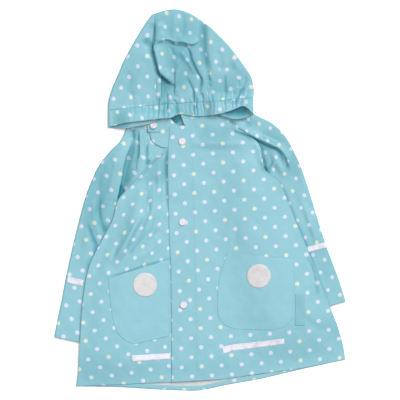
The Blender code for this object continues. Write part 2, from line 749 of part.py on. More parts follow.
def disc(name, centre, under, radius, height, dome, cloth):
    """A round piece draped on what it is fixed to: rings of points from its rim to its middle, above and below."""
    mesh = bmesh.new()
    sides, rings = 18, ((1.0, 0.0), (0.86, 0.75), (0.45, 1.0))
    grids = []
    for face in (0, 1):
        grid = []
        for share, rise in rings:
            ring = []
            for k in range(sides):
                angle = 2 * math.pi * k / sides
                x, y = centre[0] + share * radius * math.cos(angle), centre[1] + share * radius * math.sin(angle)
                z = float(under(np.array(x), np.array(y))) + SEWN_GAP + face * (height - dome * (1 - rise))
                ring.append(mesh.verts.new(Vector((x, y, z)) * MM))
            grid.append(ring)
        z = float(under(np.array(centre[0]), np.array(centre[1]))) + SEWN_GAP + face * height
        grid.append([mesh.verts.new(Vector((*centre, z)) * MM)])
        grids.append(grid)
    for grid in grids:
        for outside, inside in zip(grid[:-2], grid[1:-1]):
            for k in range(sides):
                n = (k + 1) % sides
                mesh.faces.new((outside[k], outside[n], inside[n]))
                mesh.faces.new((outside[k], inside[n], inside[k]))
        for k in range(sides):
            mesh.faces.new((grid[-2][k], grid[-2][(k + 1) % sides], grid[-1][0]))
    for k in range(sides):
        n = (k + 1) % sides
        mesh.faces.new((grids[0][0][k], grids[0][0][n], grids[1][0][n], grids[1][0][k]))
    finish(name, mesh, cloth)


def main():
    for old in list(bpy.data.objects):
        bpy.data.objects.remove(old)
    dotted = material("coated_cloth", (0.30, 0.60, 0.67), 0.45)
    plain = material("plain_cloth", (0.32, 0.62, 0.70), 0.45)
    grey = material("reflective_grey", (0.72, 0.70, 0.70), 0.5)
    white = material("reflective_tape", (0.80, 0.80, 0.86), 0.35)
    cap = material("snap_cap", (0.78, 0.76, 0.84), 0.3)
    paper = material("label_cloth", (0.80, 0.80, 0.82), 0.6)
    back(dotted)
    back_hem(dotted)
    front_right(dotted)
    neck_facing(dotted)
    front_left(dotted)
    flap(dotted)
    sleeve("sleeve_right", SLEEVE_RIGHT, dotted)
    sleeve("sleeve_left", SLEEVE_LEFT, dotted)
    hood_side("hood_right", HOOD_RIGHT, SEAM_RIGHT, -1, dotted)
    hood_side("hood_left", HOOD_LEFT, SEAM_LEFT, 1, dotted)
    hood_centre(dotted)
    edge_strip("hood_casing", CASING_EDGE, casing_top, 1, CASING_WALL, 3, 50, dotted)
    edge_strip("hood_neckband", NECKBAND_EDGE, hood_bottom, -1, CLOTH, 3, 22, dotted)
    patch("neck_tab", NECK_TAB, 2, 3, right_front_top, TAB_WALL, dotted)
    patch("pocket_right", POCKET_RIGHT, 2, 10, right_front_top, CLOTH, plain)
    patch("pocket_left", POCKET_LEFT, 2, 12, left_front_top, CLOTH, plain)
    patch("label", LABEL, 3, 3, left_front_top, TAPE_WALL, paper)
    patch("tape_sleeve_right", SLEEVE_TAPE_RIGHT, 2, 2, sleeve_top("sleeve_right"), TAPE_WALL, white)
    patch("tape_sleeve_left", SLEEVE_TAPE_LEFT, 2, 2, sleeve_top("sleeve_left"), TAPE_WALL, white)
    patch("tape_hem_right", HEM_TAPE_RIGHT, 4, 2, right_front_top, TAPE_WALL, white)
    patch("tape_hem_left", HEM_TAPE_LEFT, 4, 3, left_front_top, TAPE_WALL, white)
    disc("badge_right", BADGE_RIGHT, on_pocket(right_front_top), BADGE_RADIUS, BADGE_WALL, 0.3, grey)
    disc("badge_left", BADGE_LEFT, on_pocket(left_front_top), BADGE_RADIUS, BADGE_WALL, 0.3, grey)
    for name, centre in SNAPS.items():
        under = flap_top if name != "snap_neck" else lambda x, y: right_front_top(x, y) + SEWN_GAP + TAB_WALL
        disc(name, centre, under, SNAP_RADIUS, SNAP_HEIGHT, 0.9, cap)


main()
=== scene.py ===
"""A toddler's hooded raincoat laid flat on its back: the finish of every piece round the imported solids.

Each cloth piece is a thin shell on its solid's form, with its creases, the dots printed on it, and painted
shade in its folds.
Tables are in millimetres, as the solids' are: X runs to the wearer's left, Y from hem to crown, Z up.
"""

import math

import bmesh
import bpy
import numpy as np
from mathutils import Matrix, Vector


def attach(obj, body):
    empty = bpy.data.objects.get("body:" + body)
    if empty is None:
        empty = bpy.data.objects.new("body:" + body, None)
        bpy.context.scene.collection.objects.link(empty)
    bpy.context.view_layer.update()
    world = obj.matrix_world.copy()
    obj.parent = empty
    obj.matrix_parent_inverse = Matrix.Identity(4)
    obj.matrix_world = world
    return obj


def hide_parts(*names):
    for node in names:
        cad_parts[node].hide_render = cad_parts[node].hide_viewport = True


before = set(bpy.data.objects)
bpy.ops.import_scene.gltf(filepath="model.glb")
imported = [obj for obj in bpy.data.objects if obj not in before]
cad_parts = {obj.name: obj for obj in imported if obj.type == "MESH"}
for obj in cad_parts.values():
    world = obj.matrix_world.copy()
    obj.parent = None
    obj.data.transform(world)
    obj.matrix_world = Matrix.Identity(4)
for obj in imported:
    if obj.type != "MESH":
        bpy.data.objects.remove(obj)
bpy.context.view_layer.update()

MM = 0.001

# ---- driving sizes, as the solids have them ----

CLOTH = 1.2
SEAM = 0.3
SLEEVE_DEPTH = 4.8
BODY_DEPTH, EDGE_THIN = 4.8, 2.0
HOOD_DEPTH = 6.2
SLEEVE_LIFT = 5.8
YOKE_LIFT = 2.4
LIFT_LEAD, LIFT_RUN = 6.0, 78.0
SHOULDER_LIFT = 9.6
NECK_THIN = 1.9
FLAP_STEP = SEAM + CLOTH
HEM_TURN = 8.0
SNAP_RADIUS = 6.4
# the radius with which two layers roll round into each other
SLEEVE_ROLL = (SLEEVE_DEPTH - SEAM) / 2
BODY_ROLL = (BODY_DEPTH - EDGE_THIN - SEAM) / 2
HOOD_ROLL = (HOOD_DEPTH - SEAM) / 2

# ---- sizes of the finish ----

SHELL = 0.5  # the shown cloth's thickness
FOLDED = 1.0  # where two cloths lie together, as in the flap and the casing
EDGE_RADIUS, EDGE_DROP = 1.2, 0.7  # how a turned edge rounds down
PITCH = 24.7  # between neighbouring dots
DOT_RADIUS = 3.65
DOT_SOFT = 0.85  # the width of a dot's blurred rim
STITCH, STITCH_GAP, THREAD = 2.6, 1.1, 0.24
# how far the faces of sewn-on pieces lie above their panel's
FACING_RISE, LABEL_RISE, TAPE_RISE, TAB_RISE = 0.7, 0.8, 0.8, 1.9
# how far in from an edge the stitches run
FLAP_SEWN, SEAM_SEWN, POCKET_SEWN, CASING_SEWN, EDGE_SEWN = 3.0, 1.4, 2.6, 1.5, 2.0
FINE = 12  # steps between two rows of a table
DISC_SIDES = 40
# how far along the cloth the print makes up for steep places, and for how much of them
UNROLL_REACH, UNROLL_SHARE = 16, 0.6
CAMERA_HEIGHT, VIEW_WIDTH = 4.0, 0.7  # in metres
SENSOR = 36.0

# ---- section tables ----
# A row for each section across a piece: one edge's x and y, then the other edge's.

# the right front, from neck to hem: side x, y, centre x, y
FRONT_RIGHT = (
    (-60, 96, -24.5, 97), (-67.3, 81.4, -24.5, 82), (-79, 72, -24.5, 68), (-101.5, 48, -24.5, 46),
    (-122, 24, -24.2, 24), (-142.6, 1, -24, 0), (-152.4, -33, -23.7, -29), (-165.5, -58.5, -23.4, -53),
    (-181, -87.5, -23.1, -80), (-193, -113, -22.8, -106), (-200, -140, -22.5, -132),
    (-204.5, -172, -22.2, -162), (-207.8, -205, -22, -194), (-209.6, -238, -21.7, -226),
    (-211.5, -270, -21.4, -258), (-213.4, -300, -21.2, -289), (-217, -326, -21, -317.5),
)
ROLLS_RIGHT = (5, 7)

# the right front's neck facing, from under the casing down to its curved free edge: outer x, y, inner x, y
NECK_FACING = (
    (-87.5, 153, -54, 153), (-87.5, 144.4, -51.6, 143.8), (-87.5, 138.5, -47.4, 137.6),
    (-87.5, 134, -41.6, 132.8), (-87.5, 130, -33, 129), (-87.5, 124, -24.5, 123), (-87.3, 116, -24.5, 114),
    (-85.5, 107, -24.5, 104), (-79.5, 98.8, -24.5, 97), (-66, 91.5, -24.5, 91.5),
)

# the left front, from neck to hem: side x, y, flap seam x, y
FRONT_LEFT = (
    (25, 151, -15.8, 153.5), (42, 140, -15.4, 134), (55, 133, -15, 119), (68, 119.5, -14.6, 105),
    (94.5, 106.5, -14, 92), (105.5, 92, -13.5, 79), (109.6, 71, -13, 62), (114.5, 51.5, -12.5, 45),
    (134, 35.5, -12, 28), (145.5, 17, -11.5, 10), (155.5, -8, -11, -13), (169.8, -43.8, -10.2, -46),
    (182.5, -73, -9.6, -75), (196.5, -108, -9, -108), (210.5, -145.5, -8.2, -144),
    (224.5, -180, -7.5, -179), (238, -213, -6.8, -214), (247, -241, -6.2, -249), (251.6, -260, -5.7, -283),
    (254.3, -279.1, -5.3, -316.6),
)
ROLLS_LEFT = (9, 10)

# the button flap, from neck to hem: free edge x, y, seam x, y. Its top corner is stepped
FLAP = (
    (-35.5, 152.5, -15.1, 153.5), (-27.5, 130, -14.8, 134), (-53, 129, -14.6, 126), (-56, 91, -13.4, 92),
    (-56.5, 52, -12.1, 52), (-55.6, 0, -10.7, 0), (-53.9, -70, -9.1, -70), (-51.3, -114, -8.3, -114),
    (-50.4, -175, -7, -175), (-50, -245, -5.7, -245), (-49.9, -319, -4.8, -316.6),
)

# the back, from neck to hem: right edge x, y, left edge x, y. Its lower sides are the fronts'
BACK = (
    (-60, 142.5, 29, 146.8), (-64, 118, 45, 130), (-70, 92, 66, 110), (-84, 62, 84, 92),
    (-102, 32, 99, 72), (-104, 4, 98.5, 50), (-124, -30, 116, 20), (-153, -42, 144, 9),
    *(right[:2] + left[:2] for right, left in zip(FRONT_RIGHT[7:], FRONT_LEFT[10:])),
)
ROLLS_BACK = (7, 8)

# the hems' lines: x, y
BACK_HEM = (
    (-217, -326), (-136.5, -327.3), (-77.5, -331.3), (-10.5, -333.6), (17.5, -330), (45.5, -323.8),
    (108.5, -312.4), (171.5, -297.5), (254.3, -279.1),
)
LEFT_HEM = (
    (-5.3, -316.6), (17.5, -315.2), (46.2, -312.9), (108.5, -303.6), (171.5, -295.5), (254.3, -279.1),
)

# the sleeves, from neck to cuff: outer x, y, inner x, y, how far the inner fold is closed, and the lower
# layer's inner x, y where they differ from the upper one's
SLEEVE_RIGHT = (
    (-127.8, 134, -60, 139, 0, -61.5, 139), (-130.5, 122, -57, 118, 0, -65.6, 118),
    (-140, 103, -55, 92, 0, -71.6, 92), (-157.5, 85.5, -66, 66, 0, -86, 62),
    (-176.5, 61, -91, 37, 0, -106.5, 32), (-189, 35, -112, 5, 0.6), (-199.5, 8, -106, -22, 1),
    (-207.5, -21, -108.5, -49, 1), (-217, -58, -117, -84, 1), (-225.8, -96, -126, -121, 1),
    (-234.5, -136, -134, -159, 1), (-241.5, -173, -141, -195, 1), (-248.5, -206.5, -145.5, -228, 1),
    (-255, -239.5, -150.5, -262, 1),
)
SLEEVE_LEFT = (
    (92.5, 152, 32, 148, 0, 31.5, 148.5), (104, 145.5, 44, 134, 0, 47, 131),
    (122.5, 136.5, 62, 112, 0, 68, 110), (140, 122.5, 82, 96, 0, 86, 92),
    (154.5, 103.5, 96, 80, 0, 102.5, 72), (166.5, 80.5, 103, 57, 0.6), (177, 57, 97, 33, 1),
    (187.5, 26, 92, -2, 1), (197, -4, 98, -31.5, 1), (208, -40, 107, -68, 1), (220.5, -79, 118, -107.5, 1),
    (233, -112.5, 130, -141, 1), (244.5, -143.5, 140, -173, 1), (255, -177.5, 151, -207, 1),
)

# the hood's sides, from the casing's line to the crown: outline x, y, the seam's y
HOOD_RIGHT = (
    (-160.9, 157, 166.5), (-160.6, 167, 180), (-158.5, 180, 196), (-153, 197, 214), (-143.5, 219, 234),
    (-132.5, 245, 256), (-118.5, 271, 276), (-105, 294, 294), (-93.5, 312, 307), (-84.6, 323.5, 318),
    (-80.6, 325.6, 325),
)
HOOD_LEFT = (
    (93.6, 180.5, 171.5), (94.3, 189, 185), (93.5, 200, 199), (89.5, 216, 214), (80.5, 230, 230),
    (70, 245, 247), (57.5, 261.5, 264), (45, 276, 280), (21.5, 299.5, 293), (9, 309.2, 303),
    (4.6, 312.4, 311.6),
)
# the hood's two seams, from the casing's line to the crown: x, y
SEAM_RIGHT = ((-76, 165), (-80.4, 325.5))
SEAM_LEFT = ((14.5, 171.5), (4.4, 312.5))
# the hood's crown fold, from the right seam to the left one: x, y
CROWN = ((-80.4, 325.5), (-64, 331), (-47, 333.7), (-30, 331), (-12, 323.5), (4.4, 312.5))

# the line where the casing and the neckband meet the hood's panels: x, y
CASING_LINE = ((-160.9, 157), (-76, 166.5), (14.5, 171.5), (93.6, 180.5))
# the casing's free lower edge: x, y
CASING_EDGE = (
    (-158.6, 127.2), (-132.3, 133.5), (-97.3, 137.7), (-70, 141), (-52.5, 142.1), (-42, 147), (-34, 149.2),
    (-22, 147.2), (0.9, 145.6), (32.9, 149.3), (57, 156.5), (73.5, 163.3), (82, 160.3), (90.5, 151.5),
)
# the neckband's free lower edge: x, y
NECKBAND_EDGE = (
    (-158.6, 126.7), (-143.5, 125.2), (-127, 125.6), (-112, 128.4), (-87.5, 132.6), (-66, 142), (-58, 139),
    (-52, 126), (-36, 124), (-24, 127), (-10, 141), (8.8, 147.6), (30, 148), (43, 145.4), (56.4, 141.6),
    (68, 141.4), (80.5, 143.6), (90, 148.9),
)

# the pockets, from mouth to bottom: outer x, y, inner x, y
POCKET_RIGHT = (
    (-160.3, -136.3, -53.4, -104.1), (-158.9, -157.5, -53, -126), (-156.6, -178.5, -52.6, -148.8),
    (-154, -199.5, -52.2, -175), (-148.8, -220.5, -52, -199.5), (-140.9, -236.3, -51.9, -218),
    (-126, -247.5, -51.8, -230), (-112, -251.5, -51.8, -237),
)
POCKET_LEFT = (
    (164.3, -104.3, 48.5, -91.9), (164.9, -124.3, 41.1, -112), (165.2, -144.4, 35.4, -132.1),
    (165, -164.5, 31.2, -152.3), (164.7, -182, 30.3, -173.3), (163.8, -197, 30.5, -194.3),
    (158.3, -210, 35, -210), (145.3, -221.9, 50.4, -221.9), (119, -227, 76, -226.6),
)
# what is sewn flat on a panel, a row for each section across it: x, y, x, y
NECK_TAB = ((-93, 134.5, -71, 134.5), (-92.5, 128, -70, 128), (-91.5, 118, -69, 118))
LABEL = ((166.2, -164.5, 181.5, -163), (166, -192, 183.5, -192), (165.5, -219, 183, -219.5))
SLEEVE_TAPE_RIGHT = (
    (-231.2, -133.5, -232.6, -144.6), (-216.8, -137.1, -217.8, -148), (-203.5, -140.2, -205.5, -150.8),
)
SLEEVE_TAPE_LEFT = ((186.5, -81.9, 189.5, -91.5), (202, -78, 205, -87.5), (218.2, -73.9, 221.2, -83.5))
HEM_TAPE_RIGHT = ((-119.9, -271.6, -118, -282.3), (-86, -269.6, -85, -280.2), (-52, -267.6, -52, -278.2))
HEM_TAPE_LEFT = (
    (38, -256.6, 41, -268.8), (58, -252.4, 60, -263.6), (78.8, -250.3, 78.8, -261.1),
    (114.5, -245.7, 115, -256.3), (147, -241.8, 147.5, -251.8),
)

# the stitches round the neck tab: x, y
TAB_STITCHES = ((-91.5, 133), (-90.4, 119.6), (-70.4, 119.6), (-71.6, 133))

# round pieces: x, y
BADGES = {"badge_right": (-95.9, -147.9), "badge_left": (102.6, -132.7)}
NECK_SNAP = (-81.4, 127.3)
FLAP_SNAPS = {"snap_top": (-31.2, 102), "snap_middle": (-30.5, -39), "snap_bottom": (-28.9, -183.4)}
# their profiles: radius (for the snaps as a share of theirs), height
BADGE_PROFILE = ((0, 1), (8.4, 1), (16.8, 1), (19.2, 1), (20, 0.95), (20.6, 0.75), (21, 0.4), (21, 0))
CAP_PROFILE = ((0, 1.9), (0.4, 1.85), (0.65, 1.9), (0.78, 2.05), (0.88, 1.9), (0.96, 1.4), (1, 0.7), (1, 0))

# the largest folds, as in the solids:
# start x, y, middle x, y, end x, y, half width, height (a trough is below zero)
FOLDS = {
    "front_right": (
        (-63, 78, -63, 35, -62, -12, 7, -1.8), (-86, 34, -92, -8, -104, -52, 9, -1.8),
        (-104, 8, -121, -52, -143, -106, 10, 2.2), (-80, -18, -97, -62, -126, -102, 9, 1.6),
        (-92, -56, -112, -84, -136, -112, 7, -0.8),
    ),
    "front_left": (
        (-16, 91, 30, 88, 82, 91, 8, -0.35), (-10, 104, 36, 103, 74, 107, 9, 0.4),
        (60, -30, 95, -60, 120, -84, 14, 0.5),
    ),
    "sleeve_right": (
        (-119, 122, -129, 66, -142, 8, 7, -1.8), (-108, 124, -112, 84, -124, 40, 6, 0.8),
        (-94, 122, -95, 92, -103, 62, 6, 0.8), (-142, 96, -156, 50, -166, 0, 10, 2.2),
        (-182, -8, -190, -52, -205, -104, 10, 2), (-168, 30, -178, -12, -188, -40, 7, -1.4),
    ),
    "sleeve_left": (
        (95, 112, 118, 102, 142, 86, 6, 2.9), (142, 86, 152, 72, 158, 50, 7, 2.6),
        (128, 78, 138, 60, 150, 40, 8, 2.6), (118, 84, 126, 64, 132, 50, 6, -1.6),
        (172, 18, 188, -30, 206, -86, 8, 1.8),
    ),
}

# the creases in each cloth: height (a trough is below zero), width on the left hand and on the right hand
# of one who walks along it, then the x, y of each point on its way. Troughs narrower than SHARP are pressed
# to a line. The hood's run on across its panels' seams
CREASES = {
    "front_right": (
        (-1.3, 3, 5, -60, 92, -60, 60, -60, 20, -58, -20), (-0.7, 3, 2, -93, 22, -90, -4, -89, -22),
        (0.9, 3, 8, -88, -10, -100, -32, -118, -60, -140, -106),
        (0.8, 6, 3, -100, -18, -112, -40, -126, -66, -150, -108), (-0.6, 2.5, 3, -72, -50, -78, -64),
        (-0.7, 2.4, 4, -94, -60, -108, -74, -119, -84, -125, -100),
        (-0.6, 2.4, 4, -134, -68, -147, -88, -153, -106),
        (-0.6, 5, 7, -87, -54, -104, -66, -128, -92, -160, -130),
        (0.5, 9, 5, -62, 84, -76, 20, -100, -60, -142, -106), (0.5, 8, 5, -70, -60, -84, -84, -110, -104),
        (-0.7, 5, 4, -78, 40, -77, 20, -80, 0), (0.8, 3, 4, -92, 26, -92, 0, -98, -22),
        (0.7, 1.5, 5, -62, 84, -84, 64, -112, 30, -138, 2), (-0.5, 9, 9, -150, -40, -168, -90, -186, -140),
        (-0.4, 10, 10, -120, -262, -150, -280, -180, -300),
    ),
    "front_left": (
        (-0.3, 5, 3, -24, 91, 0, 90, 28, 87.5, 84, 90), (0.6, 4, 8, -20, 99, 40, 98, 92, 97),
        (-0.3, 5, 4, 10, 74, 30, 72, 46, 76), (-0.8, 1.6, 3, 188, -100, 198, -122, 204, -146, 207, -172),
        (0.3, 9, 9, 64, 20, 90, 12, 112, 18), (-0.3, 8, 10, -10, 44, 24, 40, 50, 44),
        (0.3, 9, 6, 30, -256, 90, -246, 150, -238), (-0.9, 5, 3, 50, 128, 64, 118, 88, 108),
        (0.8, 2, 6, 92, 104, 103, 88, 108, 66, 112, 50), (-0.4, 8, 8, 60, -30, 62, -60, 58, -88),
        (-0.5, 6, 9, 176, -200, 200, -220, 226, -232), (-0.5, 1.4, 1.8, 49, -246, 53, -256, 51, -270),
        (-0.4, 1.6, 1.4, 64, -248, 61, -258, 66, -268),
    ),
    "sleeve_right": (
        (1.9, 0.9, 14, -117, 105, -126, 82, -131, 66, -134, 52.5, -137.4, 31.5, -141, 14, -146, -4),
        (-1.5, 9, 0.9, -116, 104, -125, 82, -130, 66, -133, 52.5, -136, 32, -140, 14),
        (-2, 2.6, 2.4, -117, 125, -116.6, 106),
        (-1.7, 1.2, 2.2, -107.6, 122, -107.8, 80, -112, 66, -112, 46),
        (0.8, 2.6, 1.2, -105, 116, -105, 84, -108, 66), (-1.2, 1.2, 2.2, -93, 96, -93, 62),
        (0.7, 2.2, 1.2, -89.5, 110, -89.5, 78), (-0.9, 3, 3, -88, 70, -94, 60),
        (-2.2, 4, 1.2, -136, 26, -139, 12, -144, -1),
        (-0.8, 4, 7, -176, 52, -178, 0, -180, -40, -187, -78), (-0.6, 4, 6, -152, 70, -160, 34, -166, 10),
        (0.6, 6, 6, -196, -96, -188, -130, -190, -170), (-0.5, 7, 5, -210, -170, -200, -200, -202, -226),
        (-0.6, 5, 5, -166, -60, -172, -96, -182, -130), (-1.1, 2.6, 3.4, -174, 2, -176, -20, -168, -56),
        (-1.1, 3, 4, -196, -44, -187, -68, -182, -84, -186, -104),
        (0.8, 4, 3, -184, -4, -186, -30, -178, -62),
    ),
    "sleeve_left": (
        (1.5, 9, 1.3, 56, 129, 71, 125, 92, 112, 112, 102, 133, 93, 141, 88, 149, 78, 157, 62),
        (-1.9, 1, 2.1, 60, 121, 76, 115, 92, 107.5, 101, 102, 114, 95.5, 123, 92, 134, 86, 144, 77),
        (-1.5, 6, 6, 103, 96, 107, 76, 112, 58), (-2.6, 4, 3, 107, 72, 110, 58, 116, 46),
        (1.2, 3, 2, 130, 68, 126, 58, 120, 47), (-1.2, 1.6, 2, 148, 74, 151, 62),
        (0.9, 2, 2, 154, 70, 156, 57), (-0.8, 5, 6, 100, 117, 125, 107, 148, 98),
        (0.6, 5, 7, 166, 70, 180, 30, 196, -10), (-0.6, 4, 5, 178, -14, 188, -46, 200, -76),
        (0.6, 6, 6, 196, -104, 208, -134, 214, -160), (-0.7, 6, 4, 66, 142, 84, 136, 100, 130),
    ),
    "hood": (
        (1.7, 13, 1.3, -77.5, 312, -77.5, 290, -78, 272), (-1.7, 1.6, 10, -80, 308, -82, 288, -85, 264),
        (-1.5, 5, 9, -93, 282, -89, 268, -80, 250),
        (3.6, 12, 1.3, -79, 277, -81.5, 263, -78.5, 250, -75, 236, -71.5, 224, -63, 214, -54, 207, -42,
         200.5),
        (0.6, 2.4, 1.1, -78, 276, -80.5, 263, -77.5, 250, -74, 236, -70, 225, -62, 216, -53, 209, -42,
         202.5),
        (0.5, 2.2, 1.1, -76, 275.5, -68, 279.5, -58, 281.5, -52, 280, -43, 277, -30, 277, -20, 273.5,
         -12, 273.5, -3, 277),
        (-2.4, 1, 2.8, -82.5, 270, -85, 260, -81, 247, -77.5, 234, -74, 221, -65, 211, -55, 203.5, -45,
         198),
        (1.3, 1.2, 8, -69, 222, -68.5, 200, -68, 172), (-1.8, 7, 1.2, -66.5, 218, -66, 196, -66, 171),
        (1.8, 8, 1.5, -43, 233, -42.5, 215, -42.5, 198, -43.5, 182),
        (-1.4, 5, 1.6, -53, 270, -49.5, 258, -43, 244),
        (-2.3, 1.5, 2.2, -26, 271, -18, 259, -14.5, 245, -8, 231, -2, 219, 2.6, 210, 2, 199, -1.5, 185),
        (1.7, 2, 5, -34, 261, -25, 248, -17, 238, -8, 221),
        (-1.9, 1.8, 2.5, -23, 214, -15, 197, -11.5, 187, -10.5, 169), (-1.4, 2, 2, 1.5, 188, 5, 173),
        (-2.2, 6, 6, 5.5, 316, 5.5, 272, 9, 244, 15, 221), (-1.6, 1.5, 2, 14.5, 226, 16.5, 207),
        (1.9, 12, 1, -78, 274, -68, 278, -58, 280, -52, 278.5, -43, 275.5, -30, 275.5, -20, 272, -12,
         272, -1, 278),
        (-1.7, 1, 3, -55, 276, -44, 271.5, -31, 271, -20, 268.5),
        (0.5, 4, 4, -45, 331, -46, 300, -47, 282), (-0.8, 5, 5, -33, 330, -30, 305, -33, 284),
        (-0.6, 8, 8, -64, 322, -63, 288), (-0.8, 3, 3, 17.5, 213, 17.5, 196),
        (-1.2, 2, 1.5, 43.5, 218, 44.5, 200, 45.5, 183), (-0.9, 2.2, 2.2, 66.5, 211, 67.5, 196),
        (-1.9, 2.2, 1.3, 76, 197, 68, 184, 62.3, 173, 61.8, 165), (1, 1.3, 4, 72, 197, 64, 182),
        (-0.9, 3, 3, 80, 216, 77.5, 205, 71.5, 191), (-0.7, 8, 5, 30, 233, 46, 229, 62, 231),
        (-0.7, 4, 4, -120, 190, -118, 174), (0.8, 10, 8, -112, 184, -106, 212, -98, 240),
        (0.9, 5, 5, -47, 250, -37, 232, -34, 200), (-0.6, 6, 6, -128, 226, -124, 206, -132, 188),
        (-0.6, 5, 6, 30, 262, 36, 246, 34, 226), (0.6, 6, 6, 52, 250, 64, 236, 76, 220),
    ),
}
SHARP = 3.0
CREASE_GAIN = 1.5

# painted shade: where the cloth lies in the shade of its own folds, hollows and openings, its colour is
# painted deeper: share, then as for the creases
PAINTED_SHADES = {
    "front_right": (
        (0.35, 2, 5, -59, 84, -59, 60, -60, 38), (0.16, 3, 4, -91, 36, -90, 16, -90, -6),
        (0.18, 24, 24, -78, 80, -82, 24), (0.12, 3, 5, -94, -60, -108, -74, -124, -98),
        (0.45, 1.8, 2, -164.5, -137, -139, -129, -117.6, -122, -100, -115.5, -76, -109, -50, -102),
    ),
    "front_left": (
        (0.42, 0.8, 6, 52, 126, 63, 121, 78, 115, 96, 107), (0.06, 4, 4, -24, 88.4, 30, 87, 82, 87.5),
        (0.16, 22, 22, -5, 118, 60, 112), (0.36, 5, 5, -30, 148, 0, 147, 34, 148),
        (0.24, 1.8, 3, 189, -101, 201, -131, 206.5, -175), (0.22, 6, 3, 104, 70, 108, 60, 113, 50),
    ),
    "sleeve_right": (
        (0.42, 15, 0.8, -117, 106, -126, 82, -131, 66, -134, 52.5, -137.4, 31.5, -141, 14, -145, -1),
        (0.95, 5, 0.8, -138.4, 30, -140, 22, -141, 14, -145, -1),
        (0.75, 2.6, 2.6, -137, 23, -133.5, 14, -139, 7), (0.4, 3, 3, -117, 124, -116, 106),
        (0.45, 1.2, 2.6, -107.6, 122, -107.8, 80, -113, 68), (0.32, 1.2, 2.6, -93, 94, -93, 62),
        (0.45, 3, 3, -88, 70, -95, 60), (0.2, 34, 34, -170, 90, -178, 20, -184, -70),
        (0.25, 3, 4, -174, 2, -176, -20, -170, -54), (0.45, 5, 5, -168, -44, -164, -56),
        (0.35, 4, 4, -195, -44, -187, -68, -182, -84, -185, -100), (0.25, 4, 4, -190, -98, -196, -122),
        (0.2, 9, 5, -152, -30, -172, -78, -192, -124, -200, -170),
        (0.25, 7, 7, -110, 60, -122, 40, -132, 26),
    ),
    "sleeve_left": (
        (0.6, 0.8, 6, 63, 121.5, 92.8, 108.5, 118, 95.2, 133, 91.5, 140, 85.8, 146.5, 74.4, 154, 59.5),
        (0.34, 9, 9, 101.5, 98, 112, 70, 120, 50), (0.5, 4, 4, 94, 108, 100, 100, 107, 90),
        (0.65, 4, 4, 111, 58, 116, 50), (0.35, 2, 2, 150, 70, 155, 58),
        (0.28, 1.5, 1.5, 115, 49, 121, 58, 128, 68), (0.32, 6, 6, 80, 138, 90, 128),
        (0.4, 4, 4, 52, 138, 64, 132), (0.18, 22, 22, 96, 124, 150, 92, 172, 30),
        (0.34, 4.5, 0.8, 130, 40, 145.5, 17, 155.5, -8, 169.8, -43.8, 182.5, -73, 196.5, -108),
        (0.16, 3, 0.8, 182.5, -73, 196.5, -108, 210.5, -145.5, 224.5, -180),
        (0.1, 24, 24, 200, -60, 225, -150),
    ),
    "hood": (
        (0.24, 42, 42, -38, 325, -34, 250, -32, 176), (0.08, 20, 20, -45, 255, -30, 215),
        (0.62, 0.7, 3.6, -78.8, 274, -81.7, 268, -80.7, 262, -78, 255, -73.5, 236, -71, 222, -66, 216,
         -58, 210, -43, 201),
        (0.34, 7, 7, -98, 280, -88, 272, -80, 264), (0.3, 10, 0.8, -79, 322, -80, 300, -81, 282),
        (0.3, 9, 9, -64, 213, -48, 194), (0.34, 6, 0.8, -68, 222, -68, 196, -68, 170),
        (0.36, 0.8, 3, -77, 271.5, -62, 277, -51, 273.5, -37, 271, -20.5, 269, -2, 273),
        (0.52, 1.4, 2.2, -24.5, 269.5, -17.5, 259, -14.5, 245, -8.2, 231, -1.8, 219, 3, 211, 1.8, 201,
         -1, 185),
        (0.32, 6, 6, 5.3, 311, 5.3, 271, 8.8, 245, 15, 221), (0.36, 1.5, 2, 14.5, 226, 17.5, 196),
        (0.3, 1.5, 1.8, 43.8, 217, 43.8, 184), (0.4, 2.6, 1.4, 75, 195.5, 68, 183, 61.8, 166),
        (0.2, 16, 16, 10, 192, 76, 196), (0.1, 45, 45, -140, 190, -104, 262),
        (0.1, 40, 40, 50, 245, 76, 205), (0.16, 12, 12, -78, 152, 14, 158), (0.22, 5, 5, 40, 170, 88, 172),
        (0.5, 1.4, 2.4, -42, 166, -40, 156, -36, 148), (0.5, 1.3, 1.3, -57, 190, -57, 150),
        (0.5, 1.3, 1.3, -11, 196, -9, 152), (0.42, 1.3, 1.3, -6, 182, -5, 156),
        (0.34, 1.3, 1.3, 4, 190, 7, 154), (0.44, 1.3, 1.3, -71, 182, -73, 148),
        (0.42, 1.3, 1.3, -62, 176, -64, 146),
    ),
    # painted shadow inside the neck openings, under the casing
    "neckband": (
        (0.9, 15, 15, -48, 146, -38, 134), (0.78, 8, 8, 40, 153, 62, 153, 86, 152),
        (0.75, 5, 5, 58, 159, 84, 159), (0.3, 1.6, 1.6, -158, 129, -145, 133, -128, 135.5, -108, 138.5),
    ),
}

